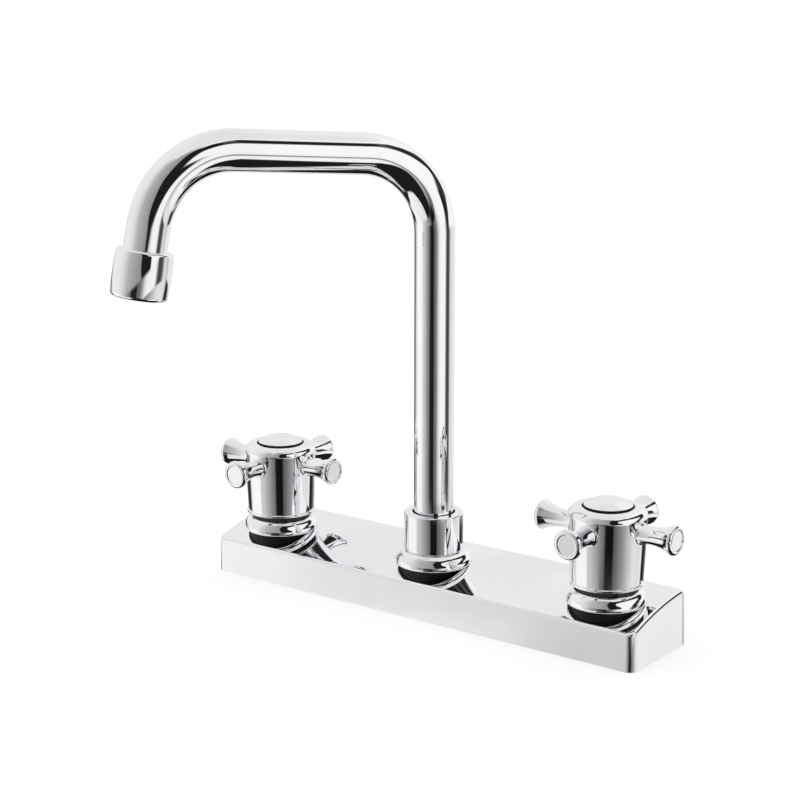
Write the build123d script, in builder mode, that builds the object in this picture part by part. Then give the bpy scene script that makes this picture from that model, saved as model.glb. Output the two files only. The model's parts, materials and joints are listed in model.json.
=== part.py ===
from build123d import *
import math
import os

# Two-handle basin mixer tap on a long deck cover, with a swivel spout and cross-head handles.
# Millimetres. Z is up, X runs along the deck cover, -Y is the front.
# The origin is on the mounting surface, under the spout's swivel axis.

os.makedirs("parts", exist_ok=True)

# Layout
handle_centres = 203.2
front_reach = 21.5
back_reach = 31.0
end_margin = 27.8

# Deck cover
cover_front_height = 18.2
cover_back_height = 27.4
cover_crown = 2.1
cover_wall = 2.4
cover_draft = 2.0
cover_corner_radius = 4.5
cover_edge_round = 1.3
cover_hole_clearance = 0.3
gasket_height = 2.0
gasket_chest_gap = 2.5
gasket_lip = 1.3
gasket_gap = 0.1

# Water inlets: G 1/2 sockets cut to the thread's minor diameter
inlet_bore_radius = 9.3155
inlet_depth = 9.5

# Fixing studs: M8 holes cut to the tapping diameter
stud_hole_radius = 3.3235
stud_hole_depth = 8.0
stud_spacing = 17.0

# Valve bodies, spout block and the tubes that bridge them
chest_radius = 14.0
chest_drop = 0.8
neck_radius = 12.5
valve_bore_radius = 10.0
seat_web = 2.0
seat_port_radius = 4.6
bridge_rise = 5.5
bridge_outer_radius = 5.4
bridge_bore_radius = 3.9
bridge_socket_web = 1.2
braze_clearance = 0.03
stud_web = 2.4
socket_bore_radius = 9.05

# Base rings that sit on the sloping cover
ring_rise = 4.0
ring_bulge_radius = 19.6
ring_crown_margin = 0.5
ring_foot_radius = 16.7
ring_depth = 8.0
ring_step = 0.9
ring_edge_round = 1.4
ring_bedding = 0.1
thread_clearance = 0.05

# Clamp nuts on the valve necks
nut_height = 4.0
nut_wall = 2.6
nut_slot_width = 3.0
nut_slot_depth = 1.3
nut_slot_count = 4

# Quarter-turn ceramic cartridges
seal_height = 1.5
disc_height = 2.5
disc_radius = 7.4
disc_clearance = 0.06
disc_port_inner = 1.9
disc_port_outer = 5.6
disc_port_angle = 74.0
cartridge_wall = 1.2
cartridge_window_width = 7.0
cartridge_thread_length = 7.5
washer_height = 0.8
hexagon_across_flats = 22.0
hexagon_height = 4.6
sleeve_radius = 6.4
sleeve_drop = 2.0
running_clearance = 0.05
spindle_radius = 4.0
drive_bar_height = 3.6
drive_bar_width = 4.4
drive_slot_depth = 0.8
spline_length = 12.0
spline_teeth = 20
spline_depth = 0.4
spline_groove_width = 0.62
spline_clearance = 0.06
circlip_height = 0.8
circlip_radius = 5.6
circlip_groove_depth = 0.6
circlip_mouth = 4.0
o_ring_section = 1.5
o_ring_squeeze_gap = 0.03

# Cross-head handles
bell_gap = 2.3
arm_rise = 27.2
bell_wall = 1.7
bell_lip_step = 0.7
bell_lip_height = 1.4
bell_head_step = 1.3
bell_shoulder_rise = 5.5
bell_top_rise = 10.4
bell_rim_step = 3.7
bell_nut_gap = 0.8
bell_cavity_drop = 6.9
cap_rim_width = 3.0
cap_recess_depth = 2.2
cap_gap = 0.12
cap_rim_height = 0.5
cap_crown = 3.9
insert_wall = 2.95
insert_drop = 4.0
insert_web = 2.0
screw_radius = 2.5
screw_head_radius = 4.5
screw_head_height = 2.6
screw_head_gap = 0.6
screw_web = 2.5
screw_length = 12.0
screw_tip_gap = 1.5
screw_drive_width = 4.0
screw_drive_depth = 1.6
arm_reach = 37.4
arm_count = 4
arm_spigot_radius = 2.95
arm_spigot_depth = 8.6
arm_seat_depth = 1.0
arm_collar_radius = 5.4
arm_collar_length = 1.3
arm_waist_radius = 4.5
arm_neck_radius = 6.3
arm_knob_radius = 7.3
arm_knob_length = 4.0
arm_knob_round = 1.1
arm_dish_radius = 5.2
arm_dish_depth = 0.4
arm_flare_bow = 0.9
fit_gap = 0.05

# Spout
spout_swing = 30.0
tube_radius = 10.0
tube_wall = 1.2
bend_radius = 40.0
run_height = 230.3
run_rise = 3.5
run_reach = 102.1
outlet_turn = 83.5
outlet_straight = 20.3
socket_rise = 10.6
slip_washer_height = 1.0
flange_height = 3.0
flange_rim_gap = 0.4
flange_gap = 0.05
bush_height = 2.0
collar_wall = 2.5
collar_height = 19.5
collar_lip_gap = 0.45
collar_chamfer = 0.5
shank_length = 21.0
shank_wall = 1.12
shank_stub_height = 8.0
shank_ring_drops = (16.0, 9.5)
groove_width = 2.1

# Outlet
ferrule_wall = 1.0
ferrule_length = 9.2
housing_wall = 2.2
housing_belly = 0.4
housing_length = 22.6
housing_shoulder = 1.6
housing_lip_reach = 1.1
housing_lip_height = 1.3
outlet_washer_height = 1.5
outlet_washer_overlap = 1.0
strainer_hole_radius = 0.95
strainer_rim = 0.25
strainer_rings = 3

# Values worked out from the sizes above
cover_half_length = handle_centres / 2 + end_margin
cover_middle = (back_reach - front_reach) / 2
cover_width = front_reach + back_reach
gasket_width = front_reach - chest_radius - gasket_chest_gap
ring_top = cover_back_height + ring_rise
ring_foot_height = ring_top - ring_depth
ring_belly_height = ring_foot_height + ring_step / 2 + ring_edge_round
chest_height = cover_front_height - chest_drop
bridge_axis_height = inlet_depth + bridge_rise
spout_floor = stud_hole_depth + stud_web
nut_radius = neck_radius + nut_wall
ring_crown_radius = nut_radius + ring_crown_margin
neck_top = ring_top + nut_height
cartridge_seat = inlet_depth + seat_web
fixed_disc_bottom = cartridge_seat + seal_height
moving_disc_bottom = fixed_disc_bottom + disc_height
spindle_bottom = moving_disc_bottom + disc_height
cartridge_bore_radius = disc_radius + disc_clearance
hexagon_bottom = neck_top + washer_height
bell_bottom = ring_top + bell_gap
arm_height = bell_bottom + arm_rise
bell_cavity_radius = nut_radius + bell_nut_gap
bell_foot_radius = bell_cavity_radius + bell_wall
bell_lip_radius = bell_foot_radius + bell_lip_step
bell_head_radius = bell_foot_radius + bell_head_step
bell_rim_radius = bell_head_radius - bell_rim_step
cap_radius = bell_rim_radius - cap_rim_width
screw_recess_radius = screw_head_radius + screw_head_gap
insert_radius = spindle_radius + insert_wall + fit_gap
bell_shoulder_height = arm_height + bell_shoulder_rise
bell_top = arm_height + bell_top_rise
bell_cavity_top = arm_height - bell_cavity_drop
cap_floor = bell_top - cap_recess_depth
screw_seat = cap_floor - screw_head_height - fit_gap
insert_top = screw_seat - screw_web
insert_bottom = bell_cavity_top - insert_drop
spindle_top = insert_top - insert_web - fit_gap
sleeve_top = insert_bottom - sleeve_drop
socket_top = ring_top + socket_rise
flange_bottom = socket_top + slip_washer_height
flange_top = flange_bottom + flange_height
flange_radius = neck_radius - flange_rim_gap
shank_bottom = flange_bottom - shank_length
shank_ring_heights = tuple(flange_bottom - drop for drop in shank_ring_drops)
shank_bore_radius = socket_bore_radius - o_ring_squeeze_gap - o_ring_section - shank_wall
tube_bore_radius = tube_radius - tube_wall
collar_radius = neck_radius + collar_wall
collar_top = ring_top + collar_height
bush_bottom = flange_top + flange_gap
ferrule_radius = tube_radius + ferrule_wall
housing_end_radius = ferrule_radius + housing_wall
housing_radius = housing_end_radius + housing_belly
housing_lip_radius = ferrule_radius - housing_lip_reach
outlet_washer_bore = tube_bore_radius - outlet_washer_overlap
strainer_pitch = (housing_lip_radius - strainer_hole_radius - strainer_rim) / strainer_rings

valve_axes = {"hot": -handle_centres / 2, "cold": handle_centres / 2}


def upright(x=0.0):
    """Vertical drawing plane through x, facing the front, with its own Y pointing up."""
    return Plane(origin=(x, 0, 0), x_dir=(1, 0, 0), z_dir=(0, -1, 0))


def upright_axis(x=0.0):
    """Vertical axis through x."""
    return Axis((x, 0, 0), (0, 0, 1))


def level(height, x=0.0):
    """Horizontal drawing plane at a height, centred on x."""
    return Plane(origin=(x, 0, height), x_dir=(1, 0, 0), z_dir=(0, 0, 1))


def outline(*corners):
    """Closed face through straight-edged corners."""
    with BuildSketch() as face:
        with BuildLine():
            Polyline(*corners, close=True)
        make_face()
    return face.sketch


def band(inner, outer, low, high):
    """Rectangular half-section of a plain ring."""
    return outline((inner, low), (outer, low), (outer, high), (inner, high))


def finish(piece, name):
    """Labels a finished piece and writes it to its own file."""
    piece.part.label = name
    export_step(piece.part, f"parts/{name}.step")


def turned(section, x=0.0):
    """Piece of revolution about the vertical axis through x."""
    with BuildPart() as piece:
        with BuildSketch(upright(x)):
            add(section)
        revolve(axis=upright_axis(x))
    return piece


def deck_block(margin):
    """Solid bounded by the cover's four drafted sides and arched, back-to-front sloping top."""
    high = cover_back_height + cover_crown
    with BuildPart() as block:
        with BuildSketch(Plane.XY):
            with Locations((0, cover_middle)):
                RectangleRounded(
                    2 * (cover_half_length + margin),
                    cover_width + 2 * margin,
                    cover_corner_radius + margin,
                )
        extrude(amount=2 * high, taper=cover_draft)
        front = Vector(-front_reach, cover_front_height + margin)
        back = Vector(back_reach, cover_back_height + margin)
        slope = (back - front).normalized()
        crest = (front + back) / 2 + Vector(-slope.Y, slope.X) * cover_crown
        overrun = slope * cover_wall
        with BuildSketch(Plane.YZ):
            with BuildLine():
                top = ThreePointArc(front, crest, back)
                rear = Line(top @ 1, (top @ 1) + overrun)
                lead = Line((top @ 0) - overrun, top @ 0)
                Polyline(rear @ 1, (back_reach + cover_wall, 0), (-front_reach - cover_wall, 0), lead @ 0)
            make_face()
        extrude(amount=cover_half_length + 2 * cover_wall, both=True, mode=Mode.INTERSECT)
    return block


def make_deck_cover():
    """Chromed cover: an arched lid with drafted sides, hollow below, with three neck holes."""
    outer = deck_block(0)
    inner = deck_block(-cover_wall)
    with BuildPart() as cover:
        add(outer.part)
        top_edges = cover.faces().filter_by(GeomType.CYLINDER).sort_by(SortBy.AREA)[-1].edges()
        fillet(top_edges, cover_edge_round)
        add(inner.part, mode=Mode.SUBTRACT)
        with BuildSketch(Plane.XY):
            with Locations((0, cover_middle)):
                RectangleRounded(
                    2 * (cover_half_length - gasket_lip),
                    cover_width - 2 * gasket_lip,
                    cover_corner_radius - gasket_lip,
                )
        extrude(amount=gasket_height, mode=Mode.SUBTRACT)
        with BuildSketch(Plane.XY):
            with Locations(*((x, 0) for x in (0, *valve_axes.values()))):
                Circle(neck_radius + cover_hole_clearance)
        extrude(amount=2 * cover_back_height, mode=Mode.SUBTRACT)
    return cover


def make_base_gasket():
    """Foam strip let into the rebate inside the cover's rim, flush with the mounting surface."""
    edge = gasket_lip + gasket_gap
    with BuildPart() as gasket:
        with BuildSketch(Plane.XY):
            with Locations((0, cover_middle)):
                RectangleRounded(
                    2 * (cover_half_length - edge),
                    cover_width - 2 * edge,
                    cover_corner_radius - edge,
                )
                Rectangle(
                    2 * (cover_half_length - gasket_width),
                    cover_width - 2 * gasket_width,
                    mode=Mode.SUBTRACT,
                )
        extrude(amount=gasket_height)
    return gasket


def make_valve_body(x):
    """Brass valve body: an inlet socket below, a seat web with its port, and a cartridge bore above."""
    inward = math.copysign(1, -x)
    with BuildPart() as body:
        with BuildSketch(upright(x)):
            add(
                outline(
                    (0, inlet_depth),
                    (inlet_bore_radius, inlet_depth),
                    (inlet_bore_radius, 0),
                    (chest_radius, 0),
                    (chest_radius, chest_height),
                    (neck_radius, chest_height),
                    (neck_radius, neck_top),
                    (valve_bore_radius, neck_top),
                    (valve_bore_radius, cartridge_seat),
                    (0, cartridge_seat),
                )
            )
        revolve(axis=upright_axis(x))
        with BuildSketch(level(0, x)):
            Circle(seat_port_radius)
        extrude(amount=cartridge_seat, mode=Mode.SUBTRACT)
        socket_plane = Plane(origin=(x, 0, bridge_axis_height), z_dir=(inward, 0, 0))
        with BuildSketch(socket_plane.offset(valve_bore_radius + bridge_socket_web)):
            Circle(bridge_outer_radius + braze_clearance)
        extrude(amount=chest_radius, mode=Mode.SUBTRACT)
        with BuildSketch(socket_plane.offset(valve_bore_radius / 2)):
            Circle(bridge_bore_radius)
        extrude(amount=chest_radius, mode=Mode.SUBTRACT)
    return body


def make_spout_block():
    """Brass centre block: two stud holes below, the swivel socket above and a bridge socket each side."""
    with BuildPart() as block:
        with BuildSketch(upright()):
            add(
                outline(
                    (0, 0),
                    (chest_radius, 0),
                    (chest_radius, chest_height),
                    (neck_radius, chest_height),
                    (neck_radius, socket_top),
                    (socket_bore_radius, socket_top),
                    (socket_bore_radius, spout_floor),
                    (0, spout_floor),
                )
            )
        revolve(axis=upright_axis())
        with BuildSketch(Plane.XY):
            with GridLocations(stud_spacing, 0, 2, 1):
                Circle(stud_hole_radius)
        extrude(amount=stud_hole_depth, mode=Mode.SUBTRACT)
        for side in (-1, 1):
            socket_plane = Plane(origin=(0, 0, bridge_axis_height), z_dir=(side, 0, 0))
            with BuildSketch(socket_plane.offset(socket_bore_radius + bridge_socket_web)):
                Circle(bridge_outer_radius + braze_clearance)
            extrude(amount=chest_radius, mode=Mode.SUBTRACT)
            with BuildSketch(socket_plane.offset(socket_bore_radius / 2)):
                Circle(bridge_bore_radius)
            extrude(amount=chest_radius, mode=Mode.SUBTRACT)
    return block


def make_bridge_tube(x):
    """Brass tube that takes the water from one valve body to the spout block."""
    start = socket_bore_radius + bridge_socket_web
    stop = abs(x) - valve_bore_radius - bridge_socket_web
    with BuildPart() as tube:
        with BuildSketch(Plane(origin=(math.copysign(start, x), 0, bridge_axis_height), z_dir=(x, 0, 0))):
            Circle(bridge_outer_radius)
            Circle(bridge_bore_radius, mode=Mode.SUBTRACT)
        extrude(amount=stop - start)
    return tube


def make_base_ring(x):
    """Bulged ring around a neck, with its foot cut to the slope of the cover."""
    bore = neck_radius + thread_clearance
    with BuildPart() as ring:
        with BuildSketch(upright(x)):
            with BuildLine():
                underside = Polyline(
                    (ring_crown_radius, ring_top),
                    (bore, ring_top),
                    (bore, 0),
                    (ring_foot_radius, 0),
                    (ring_foot_radius, ring_foot_height),
                    (ring_bulge_radius - ring_step, ring_foot_height + ring_step / 2),
                )
                RadiusArc(
                    underside @ 1,
                    (ring_bulge_radius, ring_belly_height),
                    -(ring_step**2 + ring_edge_round**2) / (2 * ring_step),
                )
                EllipticalCenterArc(
                    (ring_crown_radius, ring_belly_height),
                    ring_bulge_radius - ring_crown_radius,
                    ring_top - ring_belly_height,
                    start_angle=0,
                    arc_size=90,
                )
            make_face()
        revolve(axis=upright_axis(x))
        add(deck_block(ring_bedding).part, mode=Mode.SUBTRACT)
    return ring


def make_clamp_nut(x):
    """Slotted ring nut that holds the base ring and the cover down on a valve body."""
    with BuildPart() as nut:
        with BuildSketch(level(ring_top, x)):
            Circle(nut_radius)
            Circle(neck_radius + thread_clearance, mode=Mode.SUBTRACT)
            with PolarLocations(nut_radius, nut_slot_count, start_angle=45):
                Rectangle(2 * nut_slot_depth, nut_slot_width, mode=Mode.SUBTRACT)
        extrude(amount=nut_height)
    return nut


def disc_ports():
    """Face of the two opposite fan-shaped ports that the ceramic discs share."""
    half = math.radians(disc_port_angle / 2)

    def rim(radius, angle):
        return (radius * math.cos(angle), radius * math.sin(angle))

    with BuildSketch() as ports:
        with PolarLocations(0, 2, start_angle=90):
            with BuildSketch(mode=Mode.PRIVATE) as fan:
                with BuildLine():
                    outer = ThreePointArc(*(rim(disc_port_outer, angle) for angle in (-half, 0, half)))
                    inner = ThreePointArc(*(rim(disc_port_inner, angle) for angle in (half, 0, -half)))
                    Line(outer @ 1, inner @ 0)
                    Line(inner @ 1, outer @ 0)
                make_face()
            add(fan.sketch)
    return ports.sketch


def make_fixed_disc(x):
    """Ceramic disc on the seat seal, with its two ports to the front and back."""
    with BuildPart() as disc:
        with BuildSketch(level(fixed_disc_bottom, x)):
            Circle(disc_radius)
            add(disc_ports(), mode=Mode.SUBTRACT)
        extrude(amount=disc_height)
    return disc


def make_moving_disc(x):
    """Ceramic disc that the spindle turns, closed a quarter turn from the fixed one, slotted on top."""
    with BuildPart() as disc:
        with BuildSketch(level(moving_disc_bottom, x)):
            Circle(disc_radius)
            add(disc_ports(), rotation=90, mode=Mode.SUBTRACT)
        extrude(amount=disc_height)
        with BuildSketch(level(spindle_bottom, x)):
            Rectangle(drive_bar_width + 2 * fit_gap, 2 * disc_radius)
        extrude(amount=-drive_slot_depth, mode=Mode.SUBTRACT)
    return disc


def make_cartridge_body(x):
    """Brass cartridge body: windowed cup round the discs, thread, hexagon and spindle sleeve."""
    cup_radius = cartridge_bore_radius + cartridge_wall
    bar_top = spindle_bottom + drive_bar_height + fit_gap
    thread_radius = valve_bore_radius - thread_clearance
    with BuildPart() as cartridge:
        with BuildSketch(upright(x)):
            add(
                outline(
                    (cartridge_bore_radius, cartridge_seat),
                    (cup_radius, cartridge_seat),
                    (cup_radius, neck_top - cartridge_thread_length),
                    (thread_radius, neck_top - cartridge_thread_length),
                    (thread_radius, hexagon_bottom),
                    (sleeve_radius, hexagon_bottom),
                    (sleeve_radius, sleeve_top),
                    (spindle_radius + running_clearance, sleeve_top),
                    (spindle_radius + running_clearance, bar_top),
                    (cartridge_bore_radius, bar_top),
                )
            )
        revolve(axis=upright_axis(x))
        with BuildSketch(level(hexagon_bottom, x)):
            RegularPolygon(hexagon_across_flats / 2, 6, major_radius=False)
            Circle(sleeve_radius, mode=Mode.SUBTRACT)
        extrude(amount=hexagon_height)
        with BuildSketch(level(spindle_bottom, x)):
            Rectangle(2 * valve_bore_radius, cartridge_window_width)
            Rectangle(cartridge_window_width, 2 * valve_bore_radius)
        extrude(amount=drive_bar_height, mode=Mode.SUBTRACT)
    return cartridge


def make_spindle(x):
    """Brass spindle: drive bar in the moving disc, sealed stem, splined and tapped top."""
    groove = spindle_radius + o_ring_squeeze_gap - o_ring_section
    groove_bottom = hexagon_bottom - groove_width
    clip_bottom = sleeve_top + running_clearance
    with BuildPart() as spindle:
        with BuildSketch(upright(x)):
            add(
                outline(
                    (0, spindle_bottom),
                    (spindle_radius, spindle_bottom),
                    (spindle_radius, groove_bottom),
                    (groove, groove_bottom),
                    (groove, groove_bottom + groove_width),
                    (spindle_radius, groove_bottom + groove_width),
                    (spindle_radius, clip_bottom),
                    (spindle_radius - circlip_groove_depth, clip_bottom),
                    (spindle_radius - circlip_groove_depth, clip_bottom + circlip_height),
                    (spindle_radius, clip_bottom + circlip_height),
                    (spindle_radius, spindle_top),
                    (0, spindle_top),
                )
            )
        revolve(axis=upright_axis(x))
        with BuildSketch(level(spindle_bottom - drive_slot_depth, x)):
            Circle(disc_radius)
            Rectangle(drive_bar_width, 2 * disc_radius, mode=Mode.INTERSECT)
        extrude(amount=drive_slot_depth + drive_bar_height)
        with BuildSketch(level(spindle_top - spline_length, x)):
            with PolarLocations(spindle_radius, spline_teeth):
                Rectangle(2 * spline_depth, spline_groove_width)
        extrude(amount=spline_length, mode=Mode.SUBTRACT)
        with BuildSketch(level(spindle_top, x)):
            Circle(screw_radius + fit_gap)
        extrude(amount=-screw_length, mode=Mode.SUBTRACT)
    return spindle


def make_circlip(x):
    """Split spring clip in the spindle's groove, resting on the sleeve."""
    with BuildPart() as circlip:
        with BuildSketch(level(sleeve_top + running_clearance, x)):
            Circle(circlip_radius)
            Circle(spindle_radius - circlip_groove_depth + fit_gap, mode=Mode.SUBTRACT)
            with Locations((circlip_radius, 0)):
                Rectangle(2 * circlip_radius, circlip_mouth, mode=Mode.SUBTRACT)
        extrude(amount=circlip_height - fit_gap)
    return circlip


def make_o_ring(outer_radius, *middles, x=0.0):
    """Rubber rings of round section, one at each height, sized by their outer radius."""
    with BuildPart() as rings:
        with BuildSketch(upright(x)):
            with Locations(*((outer_radius - o_ring_section / 2, middle) for middle in middles)):
                Circle(o_ring_section / 2)
        revolve(axis=upright_axis(x))
    return rings


def make_spline_insert(x):
    """Moulded insert inside the bell, toothed to fit the spindle, with a screw hole through its top."""
    bore = spindle_radius + spline_clearance
    tooth = spline_groove_width - 2 * spline_clearance
    with BuildPart() as insert:
        with BuildSketch(level(insert_bottom, x)):
            Circle(insert_radius - fit_gap)
            Circle(bore, mode=Mode.SUBTRACT)
        extrude(amount=insert_top - insert_bottom)
        with BuildSketch(level(insert_bottom, x)):
            with PolarLocations(bore, spline_teeth):
                Rectangle(2 * (spline_depth - spline_clearance), tooth)
            Circle(bore + spline_clearance, mode=Mode.INTERSECT)
        extrude(amount=insert_top - insert_bottom)
        with BuildSketch(level(insert_top, x)):
            Circle(insert_radius - fit_gap)
            Circle(screw_radius + 2 * fit_gap, mode=Mode.SUBTRACT)
        extrude(amount=-insert_web)
    return insert


def make_handle_hub(x):
    """Bell-shaped hub: hollow over the valve, with four arm seats and a recess for the cap."""
    with BuildPart() as hub:
        with BuildSketch(upright(x)):
            with BuildLine():
                wall = Polyline(
                    (screw_radius + 2 * fit_gap, screw_seat),
                    (screw_radius + 2 * fit_gap, insert_top),
                    (insert_radius, insert_top),
                    (insert_radius, bell_cavity_top),
                    (bell_cavity_radius, bell_cavity_top),
                    (bell_cavity_radius, bell_bottom),
                    (bell_lip_radius, bell_bottom),
                    (bell_lip_radius, bell_bottom + bell_lip_height),
                    (bell_foot_radius, bell_bottom + bell_lip_height),
                    (bell_head_radius, bell_shoulder_height),
                )
                rise = bell_top - bell_shoulder_height
                shoulder_middle = (
                    bell_rim_radius + (bell_head_radius - bell_rim_radius) * math.sin(math.radians(45)),
                    bell_shoulder_height + rise * math.sin(math.radians(45)),
                )
                ThreePointArc(wall @ 1, shoulder_middle, (bell_rim_radius, bell_top))
                Polyline(
                    (bell_rim_radius, bell_top),
                    (cap_radius, bell_top),
                    (cap_radius, cap_floor),
                    (screw_recess_radius, cap_floor),
                    (screw_recess_radius, screw_seat),
                    wall @ 0,
                )
            make_face()
        revolve(axis=upright_axis(x))
        for index in range(arm_count):
            seat_plane = arm_plane(x, index)
            with BuildSketch(seat_plane.offset(bell_head_radius - arm_seat_depth)):
                Circle(arm_collar_radius + fit_gap)
            extrude(amount=2 * arm_seat_depth, mode=Mode.SUBTRACT)
            with BuildSketch(seat_plane.offset(arm_spigot_depth)):
                Circle(arm_spigot_radius + fit_gap)
            extrude(amount=bell_head_radius - arm_spigot_depth, mode=Mode.SUBTRACT)
    return hub


def arm_plane(x, index):
    """Plane at the handle's axis whose normal points along one arm."""
    angle = math.radians(360 / arm_count * index)
    return Plane(origin=(x, 0, arm_height), x_dir=(0, 0, 1), z_dir=(math.cos(angle), math.sin(angle), 0))


def make_handle_arms(x):
    """Four trumpet-shaped arms, each with a threaded spigot, a collar and a dished round end."""
    seat = bell_head_radius - arm_seat_depth
    knob_start = arm_reach - arm_knob_length
    waist = seat + arm_collar_length
    middle = (arm_waist_radius + arm_neck_radius) / 2 - arm_flare_bow
    with BuildPart() as arms:
        for index in range(arm_count):
            plane = arm_plane(x, index)
            across = Vector(0, 0, 1).cross(plane.z_dir)
            section_plane = Plane(origin=plane.origin, x_dir=(0, 0, 1), z_dir=across)
            with BuildSketch(section_plane):
                with BuildLine():
                    root = Polyline(
                        (0, arm_spigot_depth + fit_gap),
                        (arm_spigot_radius, arm_spigot_depth + fit_gap),
                        (arm_spigot_radius, seat),
                        (arm_collar_radius, seat),
                        (arm_collar_radius, waist - arm_collar_length / 3),
                        (arm_waist_radius, waist),
                    )
                    half_way = (waist + knob_start) / 2
                    ThreePointArc(root @ 1, (middle, half_way), (arm_neck_radius, knob_start))
                    Polyline(
                        (arm_neck_radius, knob_start),
                        (arm_knob_radius, knob_start + arm_knob_round),
                        (arm_knob_radius, arm_reach - arm_knob_round),
                    )
                    RadiusArc(
                        (arm_knob_radius, arm_reach - arm_knob_round),
                        (arm_knob_radius - arm_knob_round, arm_reach),
                        -arm_knob_round,
                    )
                    Polyline(
                        (arm_knob_radius - arm_knob_round, arm_reach),
                        (arm_dish_radius, arm_reach),
                        (arm_dish_radius - arm_dish_depth, arm_reach - arm_dish_depth),
                        (0, arm_reach - arm_dish_depth),
                        root @ 0,
                    )
                make_face()
            revolve(axis=Axis(plane.origin, plane.z_dir))
    return arms


def make_handle_screw(x):
    """Cap-head screw that clamps the hub and its insert to the spindle."""
    shank_bottom_height = spindle_top - screw_length + screw_tip_gap
    with BuildPart() as screw:
        with BuildSketch(level(shank_bottom_height, x)):
            Circle(screw_radius)
        extrude(amount=screw_seat - shank_bottom_height)
        with BuildSketch(level(screw_seat, x)):
            Circle(screw_head_radius)
        extrude(amount=screw_head_height)
        with BuildSketch(level(screw_seat + screw_head_height, x)):
            RegularPolygon(screw_drive_width / 2, 6, major_radius=False)
        extrude(amount=-screw_drive_depth, mode=Mode.SUBTRACT)
    return screw


def make_index_cap(x):
    """Domed cap that snaps into the top of the hub and hides the screw."""
    radius = cap_radius - cap_gap
    rim = bell_top + cap_rim_height
    with BuildPart() as cap:
        with BuildSketch(upright(x)):
            with BuildLine():
                foot = Polyline((0, rim + cap_crown), (0, cap_floor), (radius, cap_floor), (radius, rim))
                TangentArc(foot @ 0, foot @ 1, tangent=(1, 0))
            make_face()
        revolve(axis=upright_axis(x))
    return cap


# The spout is drawn in an upright plane that is swung from the front towards the left handle
swing = math.radians(spout_swing)
spout_plane = Plane(
    origin=(0, 0, 0),
    x_dir=(-math.sin(swing), -math.cos(swing), 0),
    z_dir=(-math.cos(swing), math.sin(swing), 0),
)
rise_angle = math.radians(run_rise)
drop_angle = math.radians(outlet_turn - run_rise)
bend_leg = bend_radius * math.tan(math.radians(outlet_turn) / 2)
corner_reach = run_reach + bend_leg * math.cos(rise_angle)
corner_height = run_height + corner_reach * math.tan(rise_angle)
last_leg = bend_leg + outlet_straight
outlet_reach = corner_reach + last_leg * math.cos(drop_angle)
outlet_height = corner_height - last_leg * math.sin(drop_angle)
outlet_end = spout_plane.from_local_coords(Vector(outlet_reach, outlet_height))
outlet_heading = Vector(-math.cos(drop_angle), math.sin(drop_angle))
outlet_rise = spout_plane.from_local_coords(outlet_heading) - Vector(0, 0, 0)
outlet_across = outlet_rise.cross(spout_plane.z_dir)
outlet_plane = Plane(origin=outlet_end, x_dir=outlet_across, z_dir=spout_plane.z_dir)
outlet_axis = Axis(outlet_end, outlet_rise)


def outlet_level(height):
    """Plane square to the outlet's axis, at a height above the end of the tube."""
    return Plane(origin=outlet_end + outlet_rise * height, x_dir=outlet_across, z_dir=outlet_rise)


def make_spout_tube():
    """Bent spout tube: riser, bend, a run that rises a little, and the turn down to the outlet."""
    with BuildPart() as tube:
        with BuildLine(spout_plane):
            FilletPolyline(
                (0, flange_top),
                (0, run_height),
                (corner_reach, corner_height),
                (outlet_reach, outlet_height),
                radius=bend_radius,
            )
        with BuildSketch(level(flange_top)):
            Circle(tube_radius)
            Circle(tube_bore_radius, mode=Mode.SUBTRACT)
        sweep()
    return tube


def make_spout_shank():
    """Brass shank under the tube: stub inside it, swivel flange, and a spigot with two ring grooves."""
    spigot = socket_bore_radius - running_clearance
    groove = socket_bore_radius - o_ring_squeeze_gap - o_ring_section
    stub = tube_bore_radius - fit_gap
    edge = [(shank_bore_radius, shank_bottom), (spigot, shank_bottom)]
    for middle in shank_ring_heights:
        low = middle - groove_width / 2
        high = middle + groove_width / 2
        edge += [(spigot, low), (groove, low), (groove, high), (spigot, high)]
    edge += [
        (spigot, flange_bottom),
        (flange_radius, flange_bottom),
        (flange_radius, flange_top),
        (stub, flange_top),
        (stub, flange_top + shank_stub_height),
        (shank_bore_radius, flange_top + shank_stub_height),
    ]
    return turned(outline(*edge))


def make_collar_nut():
    """Plain round nut over the swivel flange, with a lip that holds the spout down."""
    thread = neck_radius + thread_clearance
    lip_bottom = bush_bottom + bush_height
    opening = tube_radius + collar_lip_gap
    return turned(
        outline(
            (thread, ring_top),
            (collar_radius - collar_chamfer, ring_top),
            (collar_radius, ring_top + collar_chamfer),
            (collar_radius, collar_top - collar_chamfer),
            (collar_radius - collar_chamfer, collar_top),
            (opening, collar_top),
            (opening, lip_bottom),
            (thread, lip_bottom),
        )
    )


def make_outlet_ferrule():
    """Threaded ferrule brazed on the end of the tube."""
    with BuildPart() as ferrule:
        with BuildSketch(outlet_level(0)):
            Circle(ferrule_radius)
            Circle(tube_radius + braze_clearance, mode=Mode.SUBTRACT)
        extrude(amount=ferrule_length)
    return ferrule


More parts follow.
